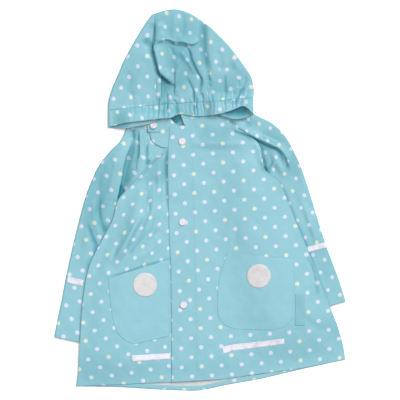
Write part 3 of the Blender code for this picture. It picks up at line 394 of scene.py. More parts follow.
# the gathers along the casing, a pressed line each:
# x at the casing's free edge, on its line and at the upper end, width, depth, reach up the hood
GATHERS = (
    (-126, -123.5, -122, 3, 0.5, 12), (-117, -115.5, -114, 2.6, 0.6, 16), (-101, -102, -104, 2.8, 0.5, 16),
    (-91, -91.5, -90, 2, 0.8, 9), (-83, -82.5, -82, 1.6, 1.1, 12), (-74, -71.5, -70, 1.3, 1.9, 16),
    (-66, -67, -66, 1.8, 0.8, 10), (-64, -62, -62, 1.1, 1.6, 6), (-57, -56.5, -56, 1.3, 2.4, 22),
    (-50, -46, -44.5, 1.5, 1, 10), (-34, -42.5, -47, 1.5, 2.4, 9), (-26, -27, -28, 3, 0.6, 12),
    (-19, -18.5, -20, 1.4, 1, 16), (-10, -11, -12, 1.2, 2.3, 26), (-6, -6.5, -5, 1.2, 2.2, 10),
    (2, 0.5, 0.5, 1.8, 1, 18), (7, 5.5, 3, 1.3, 1.7, 20), (14, 15, 16, 2.8, 0.5, 10),
    (24, 22, 19, 1.6, 1.4, 18), (30, 28.5, 30, 2.6, 0.5, 12), (38, 36, 34, 2.2, 0.7, 20),
    (43, 43, 45.5, 1.3, 1.6, 30), (53, 51, 52, 2.6, 0.7, 12), (55, 57, 60, 1.8, 1.1, 20),
    (61.5, 62, 74, 1.3, 1.9, 30), (70, 71, 80, 1.5, 1.4, 24), (79, 80, 86, 2.4, 0.7, 14),
)

# the print's lattice on each cloth: a dot's x, y; the step to the next one; the step to the one beside it;
# then how the steps turn from dot to dot, for (next, next), (next, beside) and (beside, beside)
PRINTS = {
    "front_left": (58.3, 49.8, 17.9, -15.7, -17, -17.6, 0.02, -0.03, -0.03, 0.03, 0.08, -0.05),
    "front_right": (-179.5, -260, 20.1, -14, -15.4, -18.2, -0.02, 0.01, 0.52, -0.26, -0.18, 0.15),
    "sleeve_right": (-190.5, -93.5, 9.3, -24.2, -24, -5.3, 0.5, -0.25, -1.2, 0.85, 0.8, -0.85),
    "sleeve_left": (182.5, 8, 20.9, -7.9, -6.4, -21.9, 0.5, 0.05, -0.8, -0.2, 0.2, 0.05),
    "hood_right": (-109.5, 270, 17.5, -18.6, -17.2, -18.3, -0.5, 0.05, 0.5, 0.65, 0.55, -0.25),
    "hood_left": (39, 263, 20.6, -13.6, -11.4, -21.6, 0.6, -0.55, -1.8, 0.55, 0.25, 0.35),
    "hood_centre": (-36.5, 321, 21.7, -5.3, -2.6, -23.6, 0, 0, 0, 0, 0, 0),
    "facing": (-47.5, 102, 17.5, -17.5, -17.5, -17.5, 0, 0, 0, 0, 0, 0),
    "hidden": (-10, 0, 17.5, -17.5, -17.5, -17.5, 0, 0, 0, 0, 0, 0),
}
# which dots are cream (c) in the repeat, the others being lilac
TINTS = ("..c....", "c....c.", "...c...", ".c....c", "....c..", "..c...c", "c..c...")

# ---- curves and distances ----


def rows_at(table, at, straight=False):
    """The table's rows at fractional places, on a smooth curve through them or on straight steps."""
    rows = np.asarray(table, float)
    ends = np.vstack([2 * rows[0] - rows[1], rows, 2 * rows[-1] - rows[-2]])
    at = np.asarray(at, float)
    i = np.clip(at.astype(int), 0, len(rows) - 2)
    t = (at - i)[:, None]
    a, b, c, d = ends[i], ends[i + 1], ends[i + 2], ends[i + 3]
    if straight:
        return b + (c - b) * t
    return 0.5 * (2 * b + (c - a) * t + (2 * a - 5 * b + 4 * c - d) * t**2 + (3 * b - 3 * c + d - a) * t**3)


def finely(table, straight=False):
    """The table's rows with FINE steps between two of them."""
    return rows_at(table, np.linspace(0, len(table) - 1, FINE * (len(table) - 1) + 1), straight)


def on_curve(table, x):
    """The y of an edge given as rows of x and y, at each x."""
    curve = finely(table)
    return np.interp(x, curve[:, 0], curve[:, 1])


def ease(low, high, value):
    """Zero below low, one above high, and a smooth step between."""
    t = np.clip((value - low) / (high - low), 0, 1)
    return t * t * (3 - 2 * t)


def near(path, x, y):
    """Distance to a path, which side of it (+ on its left), and the share of the way along it."""
    lengths = [math.dist(p, q) for p, q in zip(path[:-1], path[1:])]
    best, side, along = np.full(np.shape(x), 1e9), np.zeros(np.shape(x)), np.zeros(np.shape(x))
    done = 0
    for (x0, y0), (x1, y1), length in zip(path[:-1], path[1:], lengths):
        dx, dy = (x1 - x0) / length, (y1 - y0) / length
        t = np.clip((x - x0) * dx + (y - y0) * dy, 0, length)
        off_x, off_y = x - x0 - t * dx, y - y0 - t * dy
        gap = np.hypot(off_x, off_y)
        closer = gap < best
        best = np.where(closer, gap, best)
        side = np.where(closer, np.sign(dx * off_y - dy * off_x), side)
        along = np.where(closer, (done + t) / sum(lengths), along)
        done += length
    return best, side, along


def folds(cloth, x, y):
    """The height that the cloth's largest folds add at each point."""
    total = np.zeros(np.shape(x))
    for x0, y0, x1, y1, x2, y2, width, height in FOLDS[cloth]:
        gap, _, along = near(((x0, y0), (x1, y1), (x2, y2)), x, y)
        ends = np.sin(math.pi * (0.08 + 0.84 * along)) ** 0.7
        total = total + height * np.exp(-((gap / width) ** 2)) * ends
    return total


def along_ways(table, x, y):
    """Each way's height in a table, and at each point its width, the gap to it and how its ends fade."""
    for height, left, right, *way in table:
        stops = np.reshape(way, (-1, 2))
        path = rows_at(stops, np.linspace(0, len(stops) - 1, 4 * len(stops) - 3))
        gap, side, along = near([tuple(p) for p in path], x, y)
        ends = np.clip(np.minimum(along, 1 - along) * 5, 0, 1) ** 0.7
        yield height, np.where(side > 0, left, right), gap, ends


def creases(cloth, x, y):
    """The height that the cloth's creases add at each point."""
    total = np.zeros(np.shape(x))
    for height, width, gap, ends in along_ways(CREASES[cloth], x, y):
        power = np.where((height < 0) & (width < SHARP), 1.1, 2)
        total = total + CREASE_GAIN * height * np.exp(-((gap / width) ** power)) * ends
    return total


def painted_shade_share(cloth, x, y):
    """How much painted shade darkens the cloth at each point, from 0 to 1."""
    clear = np.ones(np.shape(x))
    for share, width, gap, ends in along_ways(PAINTED_SHADES[cloth], x, y):
        clear = clear * (1 - share * np.exp(-((gap / width) ** 2)) * np.maximum(ends, 0.35))
    return 1 - clear


def no_deeper(relief, depth):
    """The relief, with its troughs eased out before they reach a depth."""
    half = depth / 2
    return np.where(relief < -half, -half - half * np.tanh((-relief - half) / half), relief)


def ripples(x, y, size):
    """The small unevenness of cloth that lies flat: waves of odd lengths that cross at odd angles."""
    total = np.zeros(np.shape(x))
    for k in range(9):
        angle, length = 0.6 + 2.4 * k, 21 + 8.5 * k
        way = x * math.cos(angle) + y * math.sin(angle)
        total = total + np.sin(2 * math.pi * way / length + 1.7 * k * k)
    return size * total / 3


def gathers(x, above):
    """The depth of the casing's gathers, which fade up the hood above its line and run down below it."""
    total = np.zeros(np.shape(x))
    for edge_x, line_x, high_x, width, depth, reach in GATHERS:
        up, down = np.clip(above / reach, 0, 1), np.clip(-above / 24, 0, 1)
        bend = 0.9 * np.sin(above / (3.5 + 0.3 * width) + line_x)
        gap = x - line_x - (high_x - line_x) * up - (edge_x - line_x) * down - bend
        fade = (1 - ease(0.3, 1, up)) * (1 - 0.45 * ease(0.3, 1, down))
        total = total - depth * np.exp(-np.abs(gap) / width) * fade
    return total


# ---- how high each layer lies ----


def over_sleeve(table, sign, x, y):
    """One where a sleeve lies underneath, zero well clear of it. sign is + for the left sleeve."""
    inner = np.array([row[2:4] for row in table])
    gap, side, _ = near([tuple(p) for p in inner] + [tuple(5 * inner[-1] - 4 * inner[-2])], x, y)
    outward = np.where(side * sign > 0, gap, -gap)
    x0, y0, x1, y1 = table[-1][:4]
    beyond = sign * ((x1 - x0) * (y - y0) - (y1 - y0) * (x - x0)) / math.dist((x0, y0), (x1, y1))
    return ease(-LIFT_LEAD - LIFT_RUN, -LIFT_LEAD, outward) * (1 - ease(2, 84, beyond))


def below_underarm(x, y):
    """Zero at the yoke and one below the underarms, which are at different heights on the two sides."""
    low = np.interp(x, (-60, 60), (6, 54))
    return 1 - ease(low, low + 28, y)


def over_sleeves(x, y):
    return np.maximum(over_sleeve(SLEEVE_RIGHT, -1, x, y), over_sleeve(SLEEVE_LEFT, 1, x, y))


def back_lift(x, y):
    return over_sleeves(x, y) * SLEEVE_LIFT * below_underarm(x, y)


def thinner(x, y):
    """How much nearer the body's two sides of cloth lie to each other along its sides and its hem."""
    right, left = ([row[:2] for row in table] for table in (FRONT_RIGHT, FRONT_LEFT[-2::-1]))
    gap, _, _ = near([*right, FRONT_RIGHT[-1][2:], *LEFT_HEM, *left], x, y)
    return EDGE_THIN * (0.6 + 0.4 * below_underarm(x, y)) * (1 - ease(0, 46, gap))


def body_top(x, y):
    raised = over_sleeves(x, y)
    lift = raised * (YOKE_LIFT + (SLEEVE_LIFT - YOKE_LIFT) * below_underarm(x, y))
    return lift + BODY_DEPTH - NECK_THIN * ease(104, 126, y) * (1 - raised) - thinner(x, y)


def right_top(x, y):
    """The right front's outer face."""
    relief = folds("front_right", x, y) * (1 - ease(-66, -57, x)) + creases("front_right", x, y)
    return body_top(x, y) + no_deeper(relief, 2.8) + ripples(x, y, 0.16)


def from_flap_seam(x, y):
    return x - np.interp(y, (-317, 131), (-5.3, -15.6))


def left_relief(x, y):
    """What the left front's folds and creases add, on the flap too."""
    large = folds("front_left", x, y) * ease(0, 12, from_flap_seam(x, y))
    return large + creases("front_left", x, y) + ripples(x, y, 0.16)


def flap_top(x, y):
    return body_top(x, y) + FLAP_STEP + left_relief(x, y)


def left_top(x, y):
    step = FLAP_STEP * (1 - ease(2, 60, from_flap_seam(x, y)))
    return body_top(x, y) + step + left_relief(x, y)


def floor_level(x, y):
    return np.zeros(np.shape(x))


def sleeve_top(name):
    def top(x, y):
        relief = no_deeper(folds(name, x, y) + creases(name, x, y), 3.4)
        return SLEEVE_DEPTH + relief + ripples(x, y, 0.14)

    return top


def casing_line(x):
    return np.interp(x, *np.transpose(CASING_LINE))


def hood_bottom(x, y):
    """The hood's underside: on the floor, and up over the sleeves' neck ends."""
    right = (1 - ease(-56, -36, x)) * (1 - ease(144, 168, y))
    right = right * (0.15 + 0.85 * ease(-154, -120, x))
    left = ease(8, 28, x) * (1 - ease(162, 190, y))
    return SHOULDER_LIFT * np.maximum(right, left)


def pinched(off):
    """How deep the seam at the casing's line presses the cloth, at a distance off it."""
    return 0.4 * np.exp(-np.abs(off) / 1.2)


def hood_top(x, y):
    above = y - casing_line(x)
    relief = 0.8 * (1 - ease(8, 30, above)) + gathers(x, above) - pinched(above)
    relief = relief + creases("hood", x, y) * ease(0, 12, above)
    return hood_bottom(x, y) + HOOD_DEPTH + no_deeper(relief, 4.6) + ripples(x, y, 0.18)


def band_bottom(x, y):
    """The neckband's outer face, which looks down on the sleeves' neck ends and the back between them."""
    middle = ease(-66, -52, x) * (1 - ease(10, 30, x))
    dip = 3 * ease(44, 66, x) * ease(142, 154, y)
    return hood_bottom(x, y) * (1 - middle) + 1.1 * middle - dip


def casing_top(x, y):
    below = casing_line(x) - y
    middle = ease(-60, -44, x) * (1 - ease(12, 30, x))
    relief = 0.8 + gathers(x, -below) - pinched(below)
    return hood_bottom(x, y) + HOOD_DEPTH + relief + 2.4 * middle * ease(4, 20, below)


# ---- layers of cloth as grids of points ----

TURN = np.radians([0, 16, 34, 54, 74])  # where the points of a turned edge stand


def sections(table, step, straight, count=0):
    """Sections along a piece, closer at both ends: their rows, ways along and places in the table."""
    fine = finely(table, straight)
    middle = (fine[:, :2] + fine[:, 2:4]) / 2
    way = np.concatenate([[0], np.cumsum(np.hypot(*np.diff(middle, axis=0).T))])
    turn = EDGE_RADIUS * (1 - np.cos(TURN))
    between = count - 2 * len(turn) if count else max(2, int(way[-1] / step))
    inner = np.linspace(EDGE_RADIUS, way[-1] - EDGE_RADIUS, between)
    stations = np.concatenate([turn, inner, way[-1] - turn[::-1]])
    at = np.interp(stations, way, np.linspace(0, len(table) - 1, len(fine)))
    return rows_at(table, at, straight), stations, at


def across(lengths, columns, radius, shares, edge):
    """For each section, the ways in from its start and how far the outer face has turned down there.

    edge is how far the start and the end turn down where they don't roll.
    """
    turn = np.minimum(radius, 0.45 * lengths)[:, None]
    turned, fall = turn * (1 - np.cos(TURN)), 1 - np.sin(TURN)
    flat = turn + np.linspace(0, 1, columns) * (lengths[:, None] - 2 * turn)
    ways = np.concatenate([turned, flat, lengths[:, None] - turned[:, ::-1]], axis=1)
    first, last = (fall * (s[:, None] * radius + (1 - s[:, None]) * d) for s, d in zip(shares.T, edge))
    return ways, np.concatenate([first, 0 * flat, last[:, ::-1]], axis=1)


def turned_down(way):
    """How far an edge's face has turned down at a way in from it, from 1 at the edge to 0."""
    return 1 - np.sqrt(np.clip(1 - (1 - way / EDGE_RADIUS).clip(0, 1) ** 2, 0, 1))


def smoothed(values, axis, reach):
    """A moving average along one axis."""
    values = np.moveaxis(values, axis, 0)
    padded = np.concatenate([np.repeat(values[:1], reach + 1, 0), values, np.repeat(values[-1:], reach, 0)])
    total = np.cumsum(padded, axis=0)
    return np.moveaxis((total[2 * reach + 1 :] - total[: -2 * reach - 1]) / (2 * reach + 1), 0, axis)


def unrolled(points, flat, step):
    """The flat places, shifted where the cloth is steep, so that the print follows the cloth."""
    shifted = flat.copy()
    for axis in (0, 1):
        moves = np.diff(points, axis=axis)
        more = np.linalg.norm(moves, axis=2) - np.linalg.norm(moves[..., :2], axis=2)
        first = np.zeros_like(np.take(more, [0], axis=axis))
        excess = np.cumsum(np.concatenate([first, more], axis=axis), axis=axis)
        reach = min(max(2, int(UNROLL_REACH / step)), points.shape[axis] // 2 - 1)
        local = UNROLL_SHARE * (excess - smoothed(excess, axis, reach))
        way = np.gradient(flat, axis=axis)
        shifted += way / np.maximum(np.linalg.norm(way, axis=2, keepdims=True), 1e-6) * local[..., None]
    return shifted


def lattice(name, flat):
    """Where each flat place lies in the print, in steps from dot to dot."""
    origin, next_, beside, turn_nn, turn_nb, turn_bb = np.array(PRINTS[name], float).reshape(6, 2)
    target = flat - origin
    place = target @ np.linalg.inv(np.array([next_, beside]))
    for _ in range(6):
        n, b = np.clip(place[..., 0], -9, 9), np.clip(place[..., 1], -9, 9)
        turned = (n * n)[..., None] * turn_nn + (n * b)[..., None] * turn_nb + (b * b)[..., None] * turn_bb
        place = (place + 2 * ((target - turned) @ np.linalg.inv(np.array([next_, beside])))) / 3
    return place


def layer(
    table, surface, step, look=1, radius=EDGE_RADIUS, rolled=None, edge=(EDGE_DROP, EDGE_DROP), place=None,
    straight=False, dots="hidden", mirrored=False, wide=1, ends=None, count=0
):
    """Points and print places of one layer of cloth, a row for each section between its two edges.

    surface is the outer face's height, and look is 1 where that face looks up, -1 where down. radius is
    that of the turned edges. rolled gives how far start and end roll round at each place in the table. An
    edge that doesn't roll turns down by edge, and the first and last section by ends. place moves points
    in plan. A lower layer's print is mirrored, so that it unfolds about its start. wide is how many steps
    lie between the points of a section, and count the number of sections where another layer gives it.
    """
    rows, stations, at = sections(table, step, straight, count)
    start, end = rows[:, :2], rows[:, 2:4]
    lengths = np.hypot(*(end - start).T)
    shares = rolled(at) if rolled else np.zeros((len(at), 2))
    ways, drop = across(lengths, max(2, int(lengths.max() / step / wide)), radius, shares, edge)
    direction = ((end - start) / lengths[:, None])[:, None, :]
    plan = start[:, None, :] + direction * ways[..., None]
    x, y = plan[..., 0], plan[..., 1]
    if place:
        x, y = place((stations / stations[-1])[:, None], x, y)
    first, last = ends or edge
    fall = np.maximum(first * turned_down(stations), last * turned_down(stations[-1] - stations))
    height = surface(x, y) - look * np.maximum(drop, fall[:, None])
    points = np.stack([x, y, height], axis=2)
    flat = start[:, None, :] - direction * ways[..., None] if mirrored else points[..., :2]
    return points, lattice(dots, unrolled(points, flat, step))


def joined_round(lower, upper):
    """One grid from a lower and an upper layer that roll round into each other at their first columns."""
    pairs = zip(lower, upper)
    return [np.concatenate([a[:, :0:-1], (a[:, :1] + b[:, :1]) / 2, b[:, 1:]], axis=1) for a, b in pairs]


def rolls(span, both=False):
    """How far a panel's sides roll round, from none to all over a span of its table's rows."""
    return lambda at: np.stack([ease(*span, at), ease(*span, at) if both else 0 * at], axis=1)


def to_hem(last, hem):
    """Moves a panel's sections so that the last one lies on the hem's line."""
    x0, y0, x1, y1 = last

    def place(share, x, y):
        straight = y0 + (y1 - y0) * (x - x0) / (x1 - x0)
        return x, y + share**4 * (on_curve(hem, x) - straight)

    return place


# ---- materials ----

AQUA = (0.152, 0.350, 0.405)
AQUA_DEEP = (0.140, 0.336, 0.390)
LILAC = (0.425, 0.475, 0.570)
CREAM = (0.450, 0.500, 0.405)
# the colour of painted shade in the folds and openings
PAINTED_SHADE_COLOUR = (0.004, 0.130, 0.175)
PLAIN = (0.156, 0.358, 0.416)
PLAIN_DEEP = (0.149, 0.350, 0.408)
THREAD_PERIOD = 0.00052
WEAVE_DEPTH = 0.00006


class Finish:
    """A new material. Its nodes take even values or another node's output."""

    def __init__(self, name, **sockets):
        self.material = bpy.data.materials.new(name)
        self.material.use_nodes = True
        self.tree = self.material.node_tree
        self.where = self.node("TexCoord", "Object")
        self.set(**sockets)

    def put(self, socket, value):
        if isinstance(value, bpy.types.NodeSocket):
            self.tree.links.new(value, socket)
        else:
            socket.default_value = (*value, 1) if isinstance(value, tuple) else value

    def set(self, **sockets):
        """Fills the shader's own sockets."""
        for socket, value in sockets.items():
            self.put(self.tree.nodes["Principled BSDF"].inputs[socket.replace("_", " ")], value)

    def node(self, kind, output, inputs=(), **settings):
        made = self.tree.nodes.new("ShaderNode" + kind)
        for setting, value in settings.items():
            setattr(made, setting, value)
        for socket, value in dict(inputs).items():
            self.put(made.inputs[socket], value)
        return made.outputs[output]

    def reckoned(self, operation, first, second=0.5):
        return self.node("Math", 0, {0: first, 1: second}, operation=operation)

    def ranged(self, value, low, high, to_low, to_high, step="LINEAR"):
        names = ("Value", "From Min", "From Max", "To Min", "To Max")
        inputs = zip(names, (value, low, high, to_low, to_high))
        return self.node("MapRange", "Result", inputs, interpolation_type=step)

    def mixed(self, factor, first, second):
        return self.node("Mix", "Result", {"Factor": factor, "A": first, "B": second}, data_type="RGBA")

    def noise(self, scale, detail=2, roughness=0.5):
        inputs = {"Vector": self.where, "Scale": scale, "Detail": detail, "Roughness": roughness}
        return self.node("TexNoise", "Fac", inputs)

    def threads(self, direction, period):
        """Even threads across one direction, a period apart in metres."""
        inputs = {"Vector": self.where, "Scale": 2 * math.pi / 20 / period}
        return self.node("TexWave", "Fac", inputs, bands_direction=direction)

    def woven(self, period):
        """A plain weave: two sets of threads that cross."""
        return self.reckoned("MULTIPLY", self.threads("X", period), self.threads("Y", period))

    def bumped(self, height, distance, strength=1, under=None):
        inputs = {"Height": height, "Distance": distance, "Strength": strength}
        if under:
            inputs["Normal"] = under
        return self.node("Bump", "Normal", inputs)


def coated_cloth(name, light, deep, printed):
    """Coated polyester: a fine weave under a soft shine, a little crinkled, with the dots printed on it and
    painted shade in its folds.
    """
    own = Finish(name)
    fleck = own.noise(420)
    broad = own.ranged(own.noise(9, 3), 0.3, 0.7, 0, 0.8)
    shade = own.reckoned("ADD", broad, own.ranged(fleck, 0.3, 0.7, 0, 0.2))
    colour = own.mixed(shade, deep, light)
    if printed:
        squares = []
        for axis in "XY":
            place = own.node("SeparateXYZ", axis, {"Vector": own.node("UVMap", "UV", uv_map="print")})
            off = own.reckoned("SUBTRACT", place, own.reckoned("ROUND", place))
            squares.append(own.reckoned("MULTIPLY", off, off))
        reach = own.reckoned("SQRT", own.reckoned("ADD", *squares))
        ragged = own.reckoned("ADD", reach, own.ranged(fleck, 0.3, 0.7, -0.006, 0.006))
        inner, outer = (DOT_RADIUS - DOT_SOFT) / PITCH, (DOT_RADIUS + DOT_SOFT) / PITCH
        dot = own.ranged(ragged, inner, outer, 1, 0, "SMOOTHSTEP")
        ink = own.mixed(own.node("Attribute", "Fac", attribute_name="cream"), LILAC, CREAM)
        colour = own.mixed(dot, colour, ink)
    # painted shade: the shade attribute darkens the colour towards the painted shade colour and lowers the
    # specular, as shade in folds would
    folded = own.node("Attribute", "Fac", attribute_name="shade")
    gloss = own.ranged(own.noise(70, 3), 0.3, 0.7, 0.33, 0.44)
    crinkle = own.bumped(own.noise(46, 5, 0.55), 0.0014, 0.5)
    own.set(
        Base_Color=own.mixed(folded, colour, PAINTED_SHADE_COLOUR),
        Specular_IOR_Level=own.ranged(folded, 0, 0.4, 0.5, 0.1),
        Roughness=gloss,
        Normal=own.bumped(own.woven(THREAD_PERIOD), WEAVE_DEPTH, 0.6, crinkle),
    )
    return own.material


def inner_side():
    """The coating inside the coat, pale grey."""
    own = Finish("inner_side", Roughness=0.6, Specular_IOR_Level=0.35)
    cloud = own.ranged(own.noise(60, 4), 0.3, 0.7, 0, 1)
    own.set(Base_Color=own.mixed(cloud, (0.40, 0.415, 0.43), (0.45, 0.46, 0.47)))
    own.set(Normal=own.bumped(own.woven(THREAD_PERIOD), WEAVE_DEPTH, 0.6))
    return own.material


def reflective(name, dark, light, cell):
    """Reflective sheet: a fine net of cells under a satin face."""
    own = Finish(name, Roughness=0.42)
    cells = own.node("TexVoronoi", "Distance", {"Vector": own.where, "Scale": 1 / cell, "Randomness": 0.15})
    cloud = own.noise(85, 4, 0.6)
    net, sheen = own.ranged(cells, 0, 0.6, 0.35, 0), own.ranged(cloud, 0.4, 0.52, -0.15, 0.65)
    own.set(Base_Color=own.mixed(own.reckoned("ADD", net, sheen), dark, light))
    own.set(Normal=own.bumped(cloud, 0.0008, 0.35, own.bumped(cells, 0.00012, 0.5)))
    return own.material


def cap_plastic():
    """Moulded plastic of the snaps, pale lilac."""
    own = Finish("snap_plastic", Roughness=0.32, Coat_Weight=0.15)
    cloud = own.ranged(own.noise(160), 0.35, 0.65, 0, 1)
    own.set(Base_Color=own.mixed(cloud, (0.44, 0.415, 0.455), (0.49, 0.465, 0.50)))
    own.set(Normal=own.bumped(own.noise(900), 0.00004, 0.4))
    return own.material


def label_weave():
    """The bare side label: a close satin weave in the coat's own colour."""
    own = Finish("label_weave", Roughness=0.55, Sheen_Weight=0.2)
    weave = own.woven(0.0009)
    own.set(Base_Color=own.mixed(weave, (0.134, 0.322, 0.377), (0.147, 0.342, 0.398)))
    own.set(Normal=own.bumped(weave, 0.00012, 0.7))
    return own.material


def sewing_thread():
    own = Finish("sewing_thread", Roughness=0.6, Sheen_Weight=0.2)
    twist = own.threads("DIAGONAL", 0.0004)
    own.set(Base_Color=own.mixed(twist, (0.125, 0.315, 0.37), (0.16, 0.36, 0.415)))
    own.set(Normal=own.bumped(twist, 0.0001, 0.6))
    return own.material


# ---- pieces ----


def named(name, mesh, materials):
    """Turns a bmesh into a smooth named object."""
    data = bpy.data.meshes.new(name + "_dressed")
    mesh.to_mesh(data)
    mesh.free()
    data.shade_smooth()
    for material in materials:
        data.materials.append(material)
    made = bpy.data.objects.new(name + "_dressed", data)
    bpy.context.scene.collection.objects.link(made)
    return made


def of_body(piece, node):
    """The piece rides on the coat and stands for its node."""
    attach(piece, "root")
    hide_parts(node)


def cream_share(places):
    """One where the nearest dot of the print is cream."""
    dots = np.round(places).astype(int) % len(TINTS)
    chart = np.array([[tint == "c" for tint in row] for row in TINTS], float)
    return chart[dots[..., 0], dots[..., 1]]


def cloth_piece(name, grid, materials, look=1, shell=SHELL, shades=None):
    """A thin shell on a grid of points, which run along a section, then from section to section."""
    points, places = grid
    rows, columns = points.shape[:2]
    mesh = bmesh.new()
    cream, shade = mesh.verts.layers.float.new("cream"), mesh.verts.layers.float.new("shade")
    bmesh.ops.create_grid(mesh, x_segments=columns - 1, y_segments=rows - 1, size=1)
    tints = cream_share(places).ravel().tolist()
    x, y = points[..., 0], points[..., 1]
    # each point's share of painted shade, stored in the shade attribute
    painted_shade_values = (painted_shade_share(shades, x, y) if shades else 0 * x).ravel().tolist()
    spots = (points.reshape(-1, 3) * MM).tolist()
    for vertex, spot, tint, depth in zip(mesh.verts, spots, tints, painted_shade_values):
        vertex.co = spot
        vertex[cream] = tint
        vertex[shade] = depth
    uv = mesh.loops.layers.uv.verify()
    printed = places.reshape(-1, 2).tolist()
    mesh.verts.index_update()
    for face in mesh.faces:
        for loop in face.loops:
            loop[uv].uv = printed[loop.vert.index]
    r, c = rows // 2, columns - columns // 4
    side = np.cross(points[r, c + 1] - points[r, c], points[r + 1, c] - points[r, c])[2]
    if side * look < 0:
        bmesh.ops.reverse_faces(mesh, faces=mesh.faces)
    bmesh.ops.remove_doubles(mesh, verts=mesh.verts, dist=0.05 * MM)
    piece = named(name, mesh, materials)
    piece.data.uv_layers[0].name = "print"
    wall = piece.modifiers.new("wall", "SOLIDIFY")
    wall.thickness = shell * MM
    wall.offset = -1
    if len(materials) > 1:
        wall.material_offset = 1
    of_body(piece, name)


def turned_disc(name, centre, under, profile, material, lean=None):
    """A round piece turned from its profile and draped on what is under it, or leaning on it."""
    mesh = bmesh.new()
    line = [mesh.verts.new((radius, 0, rise)) for radius, rise in profile]
    edges = [mesh.edges.new(pair) for pair in zip(line[:-1], line[1:])]
    turn = {"cent": (0, 0, 0), "axis": (0, 0, 1), "angle": 2 * math.pi, "steps": DISC_SIDES}
    bmesh.ops.spin(mesh, geom=line + edges, use_merge=True, **turn)
    bmesh.ops.remove_doubles(mesh, verts=mesh.verts, dist=0.01)
    bmesh.ops.recalc_face_normals(mesh, faces=mesh.faces)
    if lean:
        bmesh.ops.transform(mesh, matrix=lean, verts=mesh.verts)
    for vertex in mesh.verts:
        x, y = centre[0] + vertex.co.x, centre[1] + vertex.co.y
        ground = float(under(*np.array(centre if lean else (x, y))))
        vertex.co = Vector((x, y, vertex.co.z + ground)) * MM
    of_body(named(name, mesh, [material]), name)


def stitches(name, paths, surface, material):
    """Rows of sewn stitches along paths (x, y), lying on a surface."""
    mesh = bmesh.new()
    for path in paths:
        path = np.asarray(path, float)
        way = np.concatenate([[0], np.cumsum(np.hypot(*np.diff(path, axis=0).T))])
        starts = np.arange(0.5, way[-1] - STITCH, STITCH + STITCH_GAP)
        ends = []
        for at in (starts, starts + STITCH):
            x, y = (np.interp(at, way, path[:, k]) for k in (0, 1))
            ends.append(np.stack([x, y, surface(x, y) + 0.3 * THREAD], axis=1))
        for first, last in zip(*ends):
            turn = Vector(last - first).to_track_quat("X", "Z").to_matrix().to_4x4()
            size = Matrix.Diagonal((STITCH / 2, THREAD, THREAD, 1))
            matrix = Matrix.Scale(MM, 4) @ Matrix.Translation(Vector((first + last) / 2)) @ turn @ size
            bmesh.ops.create_uvsphere(mesh, u_segments=5, v_segments=4, radius=1, matrix=matrix)
    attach(named(name, mesh, [material]), "root")


def beside(table, inset, at_end=False, low=0, high=None, straight=False):
    """A path an inset in from the edge where a table's rows start, or end."""
    fine = finely(table, straight)[FINE * low : None if high is None else FINE * high + 1]
    start, end = (fine[:, 2:4], fine[:, :2]) if at_end else (fine[:, :2], fine[:, 2:4])
    way = end - start
    return start + inset * way / np.hypot(*way.T)[:, None]


def over(under, rise):
    """What lies a rise above a surface."""
    return lambda x, y: under(x, y) + rise


def pocket_top(under, table):
    """A pocket's face: it stands a little off the panel and dips along its topstitching."""
    fine = finely(table)
    outline = [tuple(p) for p in np.vstack([fine[:, :2], fine[::-1, 2:4], fine[:1, :2]])[::3]]

    def top(x, y):
        gap, _, _ = near(outline, x, y)
        dip = 0.12 * np.exp(-(((gap - POCKET_SEWN) / 0.9) ** 2))
        return under(x, y) + 0.6 + 0.7 * ease(2, 26, gap) - dip

    return top


def sleeve(name, table, materials):
    def closed(at):
        share = rows_at([row[4:5] for row in table], at)[:, 0]
        return np.stack([np.ones(len(at)), np.clip(share, 0, 1)], axis=1)

    both = {"radius": SLEEVE_ROLL, "rolled": closed, "dots": name}
    underside = [row[:2] + (row[5:] or row[2:4]) for row in table]
    upper = layer([row[:4] for row in table], sleeve_top(name), 1.5, **both)
    lower = layer(underside, floor_level, 1.5, look=-1, mirrored=True, wide=4, count=len(upper[0]), **both)
    cloth_piece(name, joined_round(lower, upper), materials, shades=name)


def at_seam(seam, y):
    (x0, y0), (x1, y1) = seam
    return x0 + (x1 - x0) * (y - y0) / (y1 - y0)


def hood_panel(name, rows, materials):
    """A hood panel folded at the hood's outline, where its rows start, with a layer below and one above."""

    def at_start(at):
        return np.stack([np.ones(len(at)), np.zeros(len(at))], axis=1)

    both = {"radius": HOOD_ROLL, "rolled": at_start, "edge": (0, 0.2), "ends": (0.3, 0.3), "dots": name}
    upper = layer(rows, hood_top, 0.95, **both)
    lower = layer(rows, hood_bottom, 0.95, look=-1, mirrored=True, wide=6, count=len(upper[0]), **both)
    cloth_piece(name, joined_round(lower, upper), materials, shades="hood")


def centre_rows():
    """The hood's centre strip, from the right seam to the left one: crown x, y, casing line x, y."""
    line, crown = (np.linspace(SEAM_RIGHT[k][0], SEAM_LEFT[k][0], 15) for k in (0, 1))
    return np.stack([crown, on_curve(CROWN, crown), line, casing_line(line)], axis=1)


def strip_along(edge, top, look, step, ends):
    """The casing or the neckband: sections from end to end, from its free edge to its line."""
    low, high = CASING_LINE[0][0] + 0.4, CASING_LINE[-1][0] - 0.4

    def place(share, x, y):
        free = on_curve(edge, x)
        return x, free + share * (casing_line(x) - free)

    rows = [(low, 0, high, 0), (low, 24, high, 24)]
    round_both = {"radius": HOOD_ROLL, "rolled": lambda at: np.ones((len(at), 2))}
    return layer(rows, top, step, look=look, place=place, ends=ends, dots="hood_centre", **round_both)


def hem_band(materials):
    """The hem allowance of the back, turned up on its inside."""

    def place(share, x, y):
        return x, on_curve(BACK_HEM, x) + 0.2 + share * HEM_TURN

    rows = [(-210, 0, 247, 0), (-210, HEM_TURN, 247, HEM_TURN)]
    grid = layer(rows, over(back_lift, CLOTH + SEAM), 0.9, place=place, wide=3, ends=(1.2, 0.6))
    cloth_piece("back_hem", grid, materials)


def patch(name, table, under, rise, materials, step=1.6):
    """A flat piece sewn on a panel, its face a rise above the panel's."""
    edge = (rise - 0.1, rise - 0.1)
    cloth_piece(name, layer(table, over(under, rise), step, edge=edge), materials)


